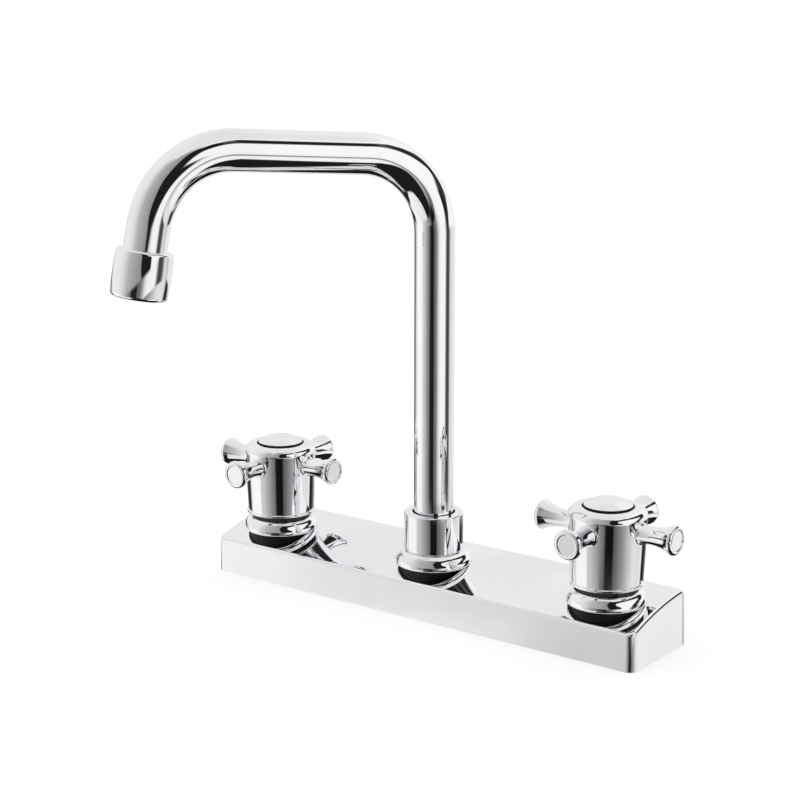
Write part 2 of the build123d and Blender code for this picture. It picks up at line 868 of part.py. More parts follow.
def make_aerator_housing():
    """Barrelled housing screwed over the ferrule, with a lip at its mouth."""
    bore = ferrule_radius + thread_clearance
    top = ferrule_length - fit_gap
    bottom = top - housing_length
    lip_top = bottom + housing_lip_height
    with BuildPart() as housing:
        with BuildSketch(outlet_plane):
            with BuildLine():
                inside = Polyline(
                    (housing_end_radius - housing_shoulder, top),
                    (bore, top),
                    (bore, lip_top),
                    (housing_lip_radius, lip_top),
                    (housing_lip_radius, bottom),
                    (housing_end_radius - housing_shoulder, bottom),
                )
                low_corner = RadiusArc(
                    inside @ 1, (housing_end_radius, bottom + housing_shoulder), -housing_shoulder
                )
                side = ThreePointArc(
                    low_corner @ 1,
                    (housing_radius, (top + bottom) / 2),
                    (housing_end_radius, top - housing_shoulder),
                )
                RadiusArc(side @ 1, inside @ 0, -housing_shoulder)
            make_face()
        revolve(axis=outlet_axis)
    return housing


def make_outlet_washer():
    """Flat rubber washer between the end of the tube and the aerator."""
    with BuildPart() as washer:
        with BuildSketch(outlet_level(0)):
            Circle(ferrule_radius)
            Circle(outlet_washer_bore, mode=Mode.SUBTRACT)
        extrude(amount=-outlet_washer_height)
    return washer


def make_aerator_insert():
    """Moulded strainer held between the washer and the housing's lip."""
    lip_top = ferrule_length - fit_gap - housing_length + housing_lip_height
    with BuildPart() as insert:
        with BuildSketch(outlet_level(-outlet_washer_height)):
            Circle(ferrule_radius - fit_gap)
            Circle(strainer_hole_radius, mode=Mode.SUBTRACT)
            for ring in range(1, strainer_rings + 1):
                with PolarLocations(ring * strainer_pitch, 6 * ring):
                    Circle(strainer_hole_radius, mode=Mode.SUBTRACT)
        extrude(amount=lip_top + outlet_washer_height)
    return insert


finish(make_deck_cover(), "deck_cover")
finish(make_base_gasket(), "base_gasket")
finish(make_spout_block(), "spout_block")
finish(make_base_ring(0), "spout_base_ring")

for side, x in valve_axes.items():
    stem_ring = spindle_radius + running_clearance - o_ring_squeeze_gap / 2
    finish(make_valve_body(x), f"{side}_valve_body")
    finish(make_bridge_tube(x), f"{side}_bridge_tube")
    finish(make_base_ring(x), f"{side}_base_ring")
    finish(make_clamp_nut(x), f"{side}_clamp_nut")
    finish(
        turned(band(disc_port_outer, cartridge_bore_radius - fit_gap, cartridge_seat, fixed_disc_bottom), x),
        f"{side}_seat_seal",
    )
    finish(make_fixed_disc(x), f"{side}_fixed_disc")
    finish(make_moving_disc(x), f"{side}_moving_disc")
    finish(make_cartridge_body(x), f"{side}_cartridge_body")
    finish(
        turned(band(valve_bore_radius, neck_radius, neck_top, hexagon_bottom), x),
        f"{side}_cartridge_washer",
    )
    finish(make_spindle(x), f"{side}_spindle")
    finish(make_circlip(x), f"{side}_spindle_clip")
    finish(make_o_ring(stem_ring, hexagon_bottom - groove_width / 2, x=x), f"{side}_spindle_o_ring")
    finish(make_spline_insert(x), f"{side}_spline_insert")
    finish(make_handle_hub(x), f"{side}_handle_hub")
    finish(make_handle_arms(x), f"{side}_handle_arms")
    finish(make_handle_screw(x), f"{side}_handle_screw")
    finish(make_index_cap(x), f"{side}_index_cap")

washer_bore_radius = socket_bore_radius + running_clearance
finish(turned(band(washer_bore_radius, neck_radius, socket_top, flange_bottom)), "slip_washer")
finish(make_spout_shank(), "spout_shank")
finish(make_o_ring(socket_bore_radius - o_ring_squeeze_gap, *shank_ring_heights), "shank_o_rings")
finish(
    turned(band(tube_radius + running_clearance, neck_radius, bush_bottom, bush_bottom + bush_height)),
    "swivel_bush",
)
finish(make_collar_nut(), "spout_collar_nut")
finish(make_spout_tube(), "spout_tube")
finish(make_outlet_ferrule(), "outlet_ferrule")
finish(make_aerator_housing(), "aerator_housing")
finish(make_outlet_washer(), "outlet_washer")
finish(make_aerator_insert(), "aerator_insert")
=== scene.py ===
"""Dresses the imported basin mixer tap: chromed skins over the frame, finishes, studio and camera."""

from __future__ import annotations

import json
import logging
import math
from dataclasses import dataclass
from enum import Enum
from typing import Iterable, Sequence

import bmesh
import bpy
from mathutils import Matrix, Vector
from mathutils.geometry import delaunay_2d_cdt

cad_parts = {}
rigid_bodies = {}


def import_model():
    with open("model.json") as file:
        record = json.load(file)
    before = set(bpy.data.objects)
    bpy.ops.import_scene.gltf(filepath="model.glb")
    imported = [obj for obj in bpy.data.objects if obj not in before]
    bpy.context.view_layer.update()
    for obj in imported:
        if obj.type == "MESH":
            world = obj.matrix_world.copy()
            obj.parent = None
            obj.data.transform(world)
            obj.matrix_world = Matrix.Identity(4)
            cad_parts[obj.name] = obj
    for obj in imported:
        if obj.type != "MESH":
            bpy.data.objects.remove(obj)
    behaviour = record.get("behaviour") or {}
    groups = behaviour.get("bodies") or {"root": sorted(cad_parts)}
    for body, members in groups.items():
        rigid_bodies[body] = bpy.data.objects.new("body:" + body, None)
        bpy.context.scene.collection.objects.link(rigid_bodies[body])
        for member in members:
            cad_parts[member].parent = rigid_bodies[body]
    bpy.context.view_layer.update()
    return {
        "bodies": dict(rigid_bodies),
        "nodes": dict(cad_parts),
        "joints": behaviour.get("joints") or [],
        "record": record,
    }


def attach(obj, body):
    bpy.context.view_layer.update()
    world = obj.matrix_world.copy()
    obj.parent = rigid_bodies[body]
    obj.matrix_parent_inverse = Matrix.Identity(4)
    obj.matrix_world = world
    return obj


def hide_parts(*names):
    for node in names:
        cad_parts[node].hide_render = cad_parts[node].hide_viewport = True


LOG = logging.getLogger("tap")
MILLIMETRE = 0.001
POINTS_PER_MILLIMETRE = 5000
SHARP_TURN = math.radians(34)
QUARTER = math.radians(90)
WHITE = (1, 1, 1, 1)

Socket = bpy.types.NodeSocket
Material = bpy.types.Material
Piece = bpy.types.Object
Corner = tuple[Vector, Vector]
Bit = tuple[Corner, Corner]
Colour = tuple[float, float, float]
Spots = tuple[tuple[float, ...], ...]
Tones = tuple[tuple[float, float], ...]


class Side(Enum):
    """The two valves, by the distance of their axes from the spout along X, in millimetres."""

    HOT = -101.6
    COLD = 101.6

    @property
    def word(self) -> str:
        """Start of the names of this side's nodes."""
        return self.name.lower()

    @property
    def body(self) -> str:
        """Body that turns with this side's handle."""
        return f"{self.word}_handle"


class Body(Enum):
    """Bodies of the frame that don't belong to one side."""

    TAP = "tap_body"
    SPOUT = "spout"


AXES = (Side.HOT.value, 0.0, Side.COLD.value)


# Node trees


class Wiring:
    """Node tree that is wired up node by node."""

    def __init__(self, tree: bpy.types.NodeTree, prefix: str = "ShaderNode") -> None:
        """Takes the tree.

        Args:
            tree: Where the nodes go.
            prefix: What the types of most of its nodes start with.
        """
        self.tree = tree
        self.prefix = prefix

    def node(self, kind: str, inputs: dict[str | int, object], **settings: object) -> bpy.types.Node:
        """Adds a node.

        Args:
            kind: Type of the node, without the usual prefix.
            inputs: What goes into it, by name or number.
            **settings: The node's own settings.

        Returns:
            The node.
        """
        made = self.tree.nodes.new(kind if "Node" in kind else self.prefix + kind)
        for name, value in settings.items():
            setattr(made, name, value)
        self.plug(made, inputs)
        return made

    def plug(self, node: bpy.types.Node, inputs: dict[str | int, object]) -> None:
        """Fills a node's inputs.

        Args:
            node: The node.
            inputs: Numbers, sockets or lists of sockets, by the input's name or number.
        """
        for name, value in inputs.items():
            for source in value if isinstance(value, list) else [value]:
                if isinstance(source, Socket):
                    self.tree.links.new(source, node.inputs[name])
                else:
                    node.inputs[name].default_value = source

    def give(self, kind: str, inputs: dict[str | int, object], **settings: object) -> Socket:
        """Adds a node and gives its first output."""
        return self.node(kind, inputs, **settings).outputs[0]

    def number(self, operation: str, *values: Socket | float) -> Socket:
        """Gives the result of a calculation with numbers or sockets."""
        return self.give("ShaderNodeMath", dict(enumerate(values)), operation=operation)

    def spread(self, source: Socket, span: Sequence[float], to: Sequence[float] = (0.0, 1.0)) -> Socket:
        """Stretches a value from one span of numbers to another, clamped.

        Args:
            source: The value.
            span: Numbers it comes in.
            to: Numbers it leaves with.

        Returns:
            The stretched value.
        """
        ends = {"From Min": span[0], "From Max": span[1], "To Min": to[0], "To Max": to[1]}
        return self.give("MapRange", {"Value": source, **ends})

    def ramp(self, source: Socket, stops: Sequence[tuple[float, Colour]]) -> Socket:
        """Gives the colour that a ramp has at a value.

        Args:
            source: The value, from 0 to 1.
            stops: Places on the ramp with their colours, 32 at most.

        Returns:
            The colour.
        """
        made = self.node("ValToRGB", {"Fac": source})
        elements = made.color_ramp.elements
        while len(elements) < len(stops):
            elements.new(1.0)
        for element, (place, colour) in zip(elements, stops):
            element.position, element.color = place, (*colour, 1)
        return made.outputs[0]


class Bench(Wiring):
    """Wires up one procedural material on Object coordinates."""

    def __init__(self, name: str) -> None:
        """Starts a material with its main shader.

        Args:
            name: Name of the material.
        """
        self.made = bpy.data.materials.new(name)
        self.made.use_nodes = True
        super().__init__(self.made.node_tree)
        self.shader = self.tree.nodes["Principled BSDF"]
        self.place = self.node("TexCoord", {}).outputs["Object"]

    def noise(self, scale: float, detail: float, stretch: Sequence[float] = (1, 1, 1)) -> Socket:
        """Cloudy pattern.

        Args:
            scale: Features per metre, roughly.
            detail: Octaves of finer cloud.
            stretch: Scale along each axis.

        Returns:
            The pattern.
        """
        place = self.give("Mapping", {"Vector": self.place, "Scale": stretch})
        return self.give("TexNoise", {"Vector": place, "Scale": scale, "Detail": detail})

    def relief(self, height: Socket, depth: float, **coarser: Socket) -> Socket:
        """Turns a pattern into relief.

        Args:
            height: The pattern.
            depth: Its full depth in metres.
            **coarser: The Normal of a relief under it, if there is one.

        Returns:
            The normal.
        """
        return self.give("Bump", {"Height": height, "Strength": 1.0, "Distance": depth, **coarser})


class Growth(Wiring):
    """Builds a geometry node tree, runs it once on an object and leaves a plain mesh behind."""

    def __init__(self, name: str) -> None:
        """Starts a tree that takes and gives geometry.

        Args:
            name: Name of the tree.
        """
        super().__init__(bpy.data.node_groups.new(name, "GeometryNodeTree"), "GeometryNode")
        for way in ("INPUT", "OUTPUT"):
            self.tree.interface.new_socket("Geometry", in_out=way, socket_type="NodeSocketGeometry")
        self.source = self.tree.nodes.new("NodeGroupInput")
        self.sizes: dict[str, float | int] = {}

    @property
    def start(self) -> Socket:
        """Geometry that comes into the tree."""
        return self.source.outputs["Geometry"]

    def size(self, name: str, value: float | int) -> Socket:
        """Adds a named input and remembers its value for this piece.

        Args:
            name: Name of the input.
            value: A length in millimetres, or a whole number.

        Returns:
            The input's socket inside the tree.
        """
        whole = isinstance(value, int)
        kind = "NodeSocketInt" if whole else "NodeSocketFloat"
        made = self.tree.interface.new_socket(name, in_out="INPUT", socket_type=kind)
        self.sizes[made.identifier] = value if whole else value * MILLIMETRE
        return self.source.outputs[name]

    def harvest(self, last: Socket, base: bpy.types.Mesh, name: str, finish: Finish) -> Piece:
        """Ends the tree in plain geometry with its finish, runs it, and keeps only the mesh.

        Args:
            last: Geometry to end with.
            base: Mesh that the tree starts from.
            name: Name of the piece.
            finish: What it is made of.

        Returns:
            The new object.
        """
        plain = self.give("RealizeInstances", {"Geometry": last})
        dressed = self.give("SetMaterial", {"Geometry": plain, "Material": finish.material()})
        self.node("NodeGroupOutput", {0: dressed})
        holder = bpy.data.objects.new(name, base)
        bpy.context.scene.collection.objects.link(holder)
        modifier = holder.modifiers.new(self.tree.name, "NODES")
        modifier.node_group = self.tree
        for identifier, value in self.sizes.items():
            modifier[identifier] = value
        shown = bpy.context.evaluated_depsgraph_get()
        mesh = bpy.data.meshes.new_from_object(holder.evaluated_get(shown), depsgraph=shown)
        holder.modifiers.remove(modifier)
        holder.data = mesh
        mesh.name = name
        return holder


# Finishes


@dataclass(frozen=True)
class Finish:
    """What a piece is made of, with the name of the record's material slot."""

    slot: str
    light: Colour
    shade: Colour
    smooth: float
    dull: float

    def material(self) -> Material:
        """Gives the one material that all pieces of this finish share, wired the first time."""
        name = f"{self.slot}_finish"
        return bpy.data.materials.get(name) or self.wire(Bench(name))

    def wire(self, bench: Bench) -> Material:
        """Wires the material up; each kind of finish has its own way."""
        raise NotImplementedError(self.slot)

    def fill(self, bench: Bench, metal: float, colour: Socket, gloss: Socket, normal: Socket) -> Material:
        """Plugs patterns into the main shader.

        Args:
            bench: The material's workbench.
            metal: 1 for a metal and 0 for anything else.
            colour: Its colour.
            gloss: How rough it is.
            normal: Its relief.

        Returns:
            The finished material.
        """
        inputs = {"Metallic": metal, "Base Color": colour, "Roughness": gloss, "Normal": normal}
        bench.plug(bench.shader, inputs)
        return bench.made


@dataclass(frozen=True)
class Plating(Finish):
    """Bright chrome plating: faint tone drift, wiping marks, dried drops and polishing ripple."""

    ripple: float = 0.000011
    fine_share: float = 0.03

    def wire(self, bench: Bench) -> Material:
        """Mirror plating with small faults in its gloss.

        Args:
            bench: The material's workbench.

        Returns:
            The finished material.
        """
        drift = bench.ramp(bench.noise(24, 3), ((0.36, self.shade), (0.66, self.light)))
        wiped = bench.spread(bench.noise(150, 4, (1, 1, 0.12)), (0.42, 0.72), (self.smooth, self.dull))
        cells = bench.give("TexVoronoi", {"Vector": bench.place, "Scale": 210})
        drops = bench.spread(cells, (0.04, 0.11), (0.05, 0.0))
        edges = bench.node("NewGeometry", {}).outputs["Pointiness"]
        worn = bench.spread(edges, (0.53, 0.62), (0.0, 0.06))
        gloss = bench.number("ADD", bench.number("ADD", wiped, drops), worn)
        polish = bench.relief(bench.noise(85, 1), self.ripple)
        scratches = bench.noise(900, 2, (1, 1, 0.2))
        fine = bench.relief(scratches, self.ripple * self.fine_share, Normal=polish)
        return self.fill(bench, 1.0, drift, gloss, fine)


@dataclass(frozen=True)
class Machined(Finish):
    """Turned brass or bright steel: tool rings round the upright axis and a patchy tarnish."""

    ring_scale: float = 950.0
    ring_depth: float = 0.00003

    def wire(self, bench: Bench) -> Material:
        """Metal as it comes off the lathe.

        Args:
            bench: The material's workbench.

        Returns:
            The finished material.
        """
        tarnish = bench.noise(70, 5)
        colour = bench.ramp(tarnish, ((0.35, self.shade), (0.68, self.light)))
        rings = bench.noise(self.ring_scale, 2, (0.04, 0.04, 1))
        patches = bench.spread(tarnish, (0.35, 0.65), (self.smooth, self.dull))
        gloss = bench.number("ADD", patches, bench.spread(rings, (0.3, 0.7), (-0.05, 0.06)))
        return self.fill(bench, 1.0, colour, gloss, bench.relief(rings, self.ring_depth))


@dataclass(frozen=True)
class Moulded(Finish):
    """Rubber, plastic, fibre or ceramic: a mottled tone and a fine grain in the surface."""

    grain_scale: float
    grain_depth: float
    fleck: float

    def wire(self, bench: Bench) -> Material:
        """Matt or glossy non-metal with its grain.

        Args:
            bench: The material's workbench.

        Returns:
            The finished material.
        """
        grain = bench.noise(self.grain_scale, 3)
        clouds = bench.spread(bench.noise(60, 3), (0.3, 0.7), (0.0, 1.0 - self.fleck))
        mottle = bench.number("ADD", clouds, bench.spread(grain, (0.35, 0.65), (0.0, self.fleck)))
        colour = bench.ramp(mottle, ((0.15, self.shade), (0.85, self.light)))
        gloss = bench.spread(bench.noise(120, 3), (0.3, 0.7), (self.smooth, self.dull))
        return self.fill(bench, 0.0, colour, gloss, bench.relief(grain, self.grain_depth))


# Painted shade: near-black, dull faces in joints and undercuts that stand in for the shade and dark
# reflections there.
SEAM_SHADE = Machined("bare_metal", (0.06, 0.06, 0.062), (0.025, 0.025, 0.027), 0.45, 0.65)
CHROME = Plating("chrome", (0.955, 0.96, 0.968), (0.895, 0.905, 0.925), 0.02, 0.055)
BRASS = Machined("brass", (0.82, 0.66, 0.37), (0.62, 0.45, 0.22), 0.22, 0.38)
STEEL = Machined("steel", (0.66, 0.67, 0.69), (0.50, 0.51, 0.53), 0.2, 0.34)
RUBBER = Moulded("rubber", (0.055, 0.055, 0.06), (0.025, 0.025, 0.028), 0.55, 0.8, 2200, 0.00003, 0.4)
CERAMIC = Moulded("ceramic", (0.92, 0.91, 0.88), (0.85, 0.83, 0.78), 0.08, 0.16, 2600, 0.000002, 0.2)
BLACK = Moulded(
    "black_plastic", (0.035, 0.035, 0.037), (0.018, 0.018, 0.019), 0.42, 0.6, 1600, 0.00002, 0.4
)
PLASTIC = Moulded("white_plastic", (0.89, 0.89, 0.88), (0.8, 0.8, 0.78), 0.38, 0.52, 1800, 0.000012, 0.3)
FIBRE = Moulded("fibre", (0.58, 0.22, 0.15), (0.36, 0.12, 0.08), 0.7, 0.9, 1300, 0.00005, 0.6)
ALL_FINISHES = (CHROME, BRASS, STEEL, RUBBER, CERAMIC, PLASTIC, BLACK, FIBRE)
FINISHES = {finish.slot: finish for finish in ALL_FINISHES}


def mount(piece: Piece, body: str, finish: Finish, *nodes: str) -> None:
    """Puts a finished piece on its body in place of nodes of the frame, and reports it.

    Args:
        piece: The finished object.
        body: Body it rides on.
        finish: Its finish; not used.
        *nodes: Nodes it stands for.
    """
    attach(piece, body)
    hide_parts(*nodes)
    LOG.info("%s: %d faces on %s", piece.name, len(piece.data.polygons), body)


def polish(piece: Piece) -> Piece:
    """Shades a plain mesh smooth, with split normals only where it turns sharply.

    Args:
        piece: Object with the mesh.

    Returns:
        The same object.
    """
    piece.data.polygons.foreach_set("use_smooth", [True] * len(piece.data.polygons))
    piece.data.set_sharp_from_angle(angle=SHARP_TURN)
    piece.data.update()
    return piece


# Shapes


@dataclass(frozen=True)
class Seam:
    """Upright ring of space in which a piece gets near-black, dull faces in place of plating: painted shade
    for a joint or undercut.
    """

    x: float
    radii: tuple[float, float]
    heights: tuple[float, float]

    def holds(self, point: Vector) -> bool:
        """Says whether a point is in the ring."""
        reach = math.hypot(point.x - self.x, point.y)
        return self.radii[0] < reach < self.radii[1] and self.heights[0] < point.z < self.heights[1]


class Skin:
    """Closed surface collected face by face, in millimetres, with its own normal at each corner."""

    def __init__(self) -> None:
        """Starts an empty surface."""
        self.points: list[Vector] = []
        self.places: dict[tuple[int, ...], int] = {}
        self.faces: list[list[int]] = []
        self.normals: list[Vector] = []

    def place(self, point: Vector) -> int:
        """Finds or adds a point.

        Args:
            point: The point.

        Returns:
            Its number in the surface.
        """
        key = tuple(round(value * POINTS_PER_MILLIMETRE) for value in point)
        if key not in self.places:
            self.places[key] = len(self.points)
            self.points.append(Vector(point))
        return self.places[key]

    def face(self, corners: Iterable[Corner]) -> None:
        """Adds a face that looks the way its corners' normals do, without corners that coincide.

        Args:
            corners: Pairs of point and normal, in order round the face.
        """
        kept: dict[int, Vector] = {}
        for point, normal in corners:
            kept.setdefault(self.place(point), normal)
        if len(kept) < 3:
            return
        numbers, area = list(kept), Vector()
        for a, b in zip(numbers, numbers[1:] + numbers[:1]):
            area += self.points[a].cross(self.points[b])
        if area.dot(sum(kept.values(), Vector())) < 0:
            numbers.reverse()
        self.faces.append(numbers)
        self.normals.extend(kept[number] for number in numbers)

    def strip(self, first: Sequence[Corner], second: Sequence[Corner]) -> None:
        """Joins two closed loops of equal length with a band of faces.

        Args:
            first: One loop, as pairs of point and normal.
            second: The other loop.
        """
        for number, (near, far) in enumerate(zip(first, second)):
            after = (number + 1) % len(first)
            self.face((near, far, second[after], first[after]))

    def mesh(self, name: str, shaded_seam: Seam | None = None) -> bpy.types.Mesh:
        """Turns the surface into a chromed mesh, in metres.

        Args:
            name: Name of the mesh.
            shaded_seam: Where near-black painted shade takes the place of the plating.

        Returns:
            The mesh.
        """
        mesh = bpy.data.meshes.new(name)
        mesh.from_pydata([point * MILLIMETRE for point in self.points], [], self.faces)
        mesh.polygons.foreach_set("use_smooth", [True] * len(self.faces))
        mesh.normals_split_custom_set([normal.normalized() for normal in self.normals])
        mesh.materials.append(CHROME.material())
        # Faces in the ring get the near-black painted shade in place of chrome.
        if shaded_seam:
            mesh.materials.append(SEAM_SHADE.material())
            for face, corners in zip(mesh.polygons, self.faces):
                middle = sum((self.points[corner] for corner in corners), Vector()) / len(corners)
                face.material_index = int(shaded_seam.holds(middle))
        return mesh

    def dress(self, node: str, body: str, shaded_seam: Seam | None = None) -> None:
        """Makes the surface a chromed piece at the frame's origin, in place of a node.

        Args:
            node: Node of the frame that it replaces.
            body: Body it rides on.
            shaded_seam: Where near-black painted shade takes the place of the plating.
        """
        name = f"{node}_chrome"
        piece = bpy.data.objects.new(name, self.mesh(name, shaded_seam))
        bpy.context.scene.collection.objects.link(piece)
        mount(piece, body, CHROME, node)


def turned_by(vector: Vector, angle: float) -> Vector:
    """Turns a flat vector anticlockwise by an angle in radians."""
    c, s = math.cos(angle), math.sin(angle)
    return Vector((c * vector.x - s * vector.y, s * vector.x + c * vector.y))


def arc(start: Sequence[float], middle: Sequence[float], end: Sequence[float], steps: int) -> Spots:
    """Points on the circle through three points, both ends included.

    Args:
        start: First point.
        middle: Any point between.
        end: Last point.
        steps: How many straight bits stand for the arc.

    Returns:
        The points.
    """
    a, b, c = Vector(start), Vector(middle), Vector(end)
    ab, ac = b - a, c - a
    cross = 2 * (ab.x * ac.y - ab.y * ac.x)
    across = (ac.y * ab.length_squared - ab.y * ac.length_squared) / cross
    along = (ab.x * ac.length_squared - ac.x * ab.length_squared) / cross
    centre = a + Vector((across, along))
    turn = -(a - centre).angle_signed(c - centre)
    by_middle = -(a - centre).angle_signed(b - centre)
    if turn * by_middle < 0 or abs(by_middle) > abs(turn):
        turn -= math.copysign(math.tau, turn)
    return tuple(tuple(centre + turned_by(a - centre, turn * step / steps)) for step in range(steps + 1))


def bulge(start: Sequence[float], end: Sequence[float], radius: float, steps: int) -> Spots:
    """Points on an arc of a given radius that bows out to the right of the way from start to end.

    Args:
        start: First point.
        end: Last point.
        radius: Radius of the arc.
        steps: How many straight bits stand for it.

    Returns:
        The points.
    """
    a, b = Vector(start), Vector(end)
    sag = radius - math.sqrt(radius**2 - ((b - a).length / 2) ** 2)
    side = Vector(((b - a).y, -(b - a).x)).normalized()
    return arc(a, (a + b) / 2 + side * sag, b, steps)


@dataclass(frozen=True)
class Outline:
    """Closed half-section of a turned piece: corners (across, along), some with a rounding radius."""

    corners: Spots
    arc_step: float = math.radians(9)
    shortest: float = 1e-4

    def rounded(self) -> list[Vector]:
        """Puts small arcs in place of the corners that have a radius.

        Returns:
            Points round the whole outline.
        """
        points: list[Vector] = []
        for number, corner in enumerate(self.corners):
            here = Vector(corner[:2])
            if len(corner) < 3:
                points.append(here)
                continue
            after = self.corners[(number + 1) % len(self.corners)]
            back = (Vector(self.corners[number - 1][:2]) - here).normalized()
            ahead = (Vector(after[:2]) - here).normalized()
            half = back.angle(ahead) / 2
            reach = corner[2] / math.tan(half)
            centre = here + (back + ahead).normalized() * corner[2] / math.sin(half)
            first, last = here + back * reach - centre, here + ahead * reach - centre
            turn = first.angle_signed(last)
            steps = max(2, math.ceil(abs(turn) / self.arc_step))
            points += [centre + turned_by(first, -turn * step / steps) for step in range(steps + 1)]
        return points

    def bits(self) -> list[Bit]:
        """Walks round the outline and gives each straight bit a normal at each of its ends.

        The normals are smooth over gentle turns and split at sharp ones.

        Returns:
            The bits in order.
        """
        points = self.rounded()
        pairs = zip(points, points[1:] + points[:1])
        kept = [(a, b) for a, b in pairs if (b - a).length > self.shortest]
        sense = math.copysign(1, sum(a.x * b.y - b.x * a.y for a, b in kept))
        outward = [Vector((b.y - a.y, a.x - b.x)).normalized() * sense for a, b in kept]
        lengths = [(b - a).length for a, b in kept]
        made = []
        for number, (a, b) in enumerate(kept):
            normals = []
            for other in (number - 1, (number + 1) % len(kept)):
                normal = outward[number]
                if normal.angle(outward[other]) < SHARP_TURN:
                    normal = (normal * lengths[number] + outward[other] * lengths[other]).normalized()
                normals.append(normal)
            made.append(((a, normals[0]), (b, normals[1])))
        return made


@dataclass(frozen=True)
class Lathe:
    """Turns an outline about an axis, which a placement takes to its spot in the tap."""

    placement: Matrix
    facets: int = 160

    def angles(self) -> list[float]:
        """Angles of the facets' edges, in radians."""
        return [math.tau / self.facets * number for number in range(self.facets)]

    def corner(self, spot: Corner, angle: float) -> Corner:
        """Takes a point and normal of the outline to an angle round the axis.

        Args:
            spot: Point and normal, both as across and along.
            angle: In radians.

        Returns:
            Point and normal in space.
        """
        c, s = math.cos(angle), math.sin(angle)
        point, normal = (Vector((value.x * c, value.x * s, value.y)) for value in spot)
        return self.placement @ point, self.placement.to_3x3() @ normal

    def turn(self, corners: Spots) -> Skin:
        """Turns the whole outline.

        Args:
            corners: Corners of the outline.

        Returns:
            Its surface.
        """
        skin = Skin()
        for bit in Outline(corners).bits():
            skin.strip(*([self.corner(spot, angle) for angle in self.angles()] for spot in bit))
        return skin


# The tap, from the deck up


@dataclass(frozen=True)
class CoverTop:
    """The cover's arched, back-to-front sloping top, which the base rings are also cut to."""

    front_reach: float = 21.5
    back_reach: float = 31.0
    front_height: float = 18.2
    back_height: float = 27.4
    crown: float = 2.1

    def centre(self) -> tuple[Vector, float]:
        """Finds the circle that the arch is a part of.

        Returns:
            Its centre (Y, Z) and radius.
        """
        front = Vector((-self.front_reach, self.front_height))
        back = Vector((self.back_reach, self.back_height))
        chord = back - front
        radius = (chord.length_squared / 4 + self.crown**2) / (2 * self.crown)
        up = Vector((-chord.y, chord.x)).normalized()
        return (front + back) / 2 + up * (self.crown - radius), radius

    def height(self, y: float, drop: float = 0.0) -> float:
        """Height of the top across the cover, or of its underside with a drop."""
        middle, radius = self.centre()
        return middle.y + math.sqrt(radius**2 - (y - middle.x) ** 2) - drop

    def slope(self, y: float) -> float:
        """How fast the top rises towards the back."""
        middle, radius = self.centre()
        return -(y - middle.x) / math.sqrt(radius**2 - (y - middle.x) ** 2)

    def normal(self, y: float) -> Vector:
        """Upward normal of the top."""
        return Vector((0, -self.slope(y), 1)).normalized()

    def on(self, point: Vector, drop: float = 0.0) -> Vector:
        """The point moved straight up or down onto the top."""
        return Vector((point.x, point.y, self.height(point.y, drop)))


@dataclass(frozen=True)
class Station:
    """One place on the cover's rounded rectangular plan: a point, the way inwards and the way along."""

    point: Vector
    inward: Vector
    along: Vector

    def inset(self, distance: float, height: float = 0.0) -> Vector:
        """The point moved inwards and up."""
        return self.point + self.inward * distance + Vector((0, 0, height))


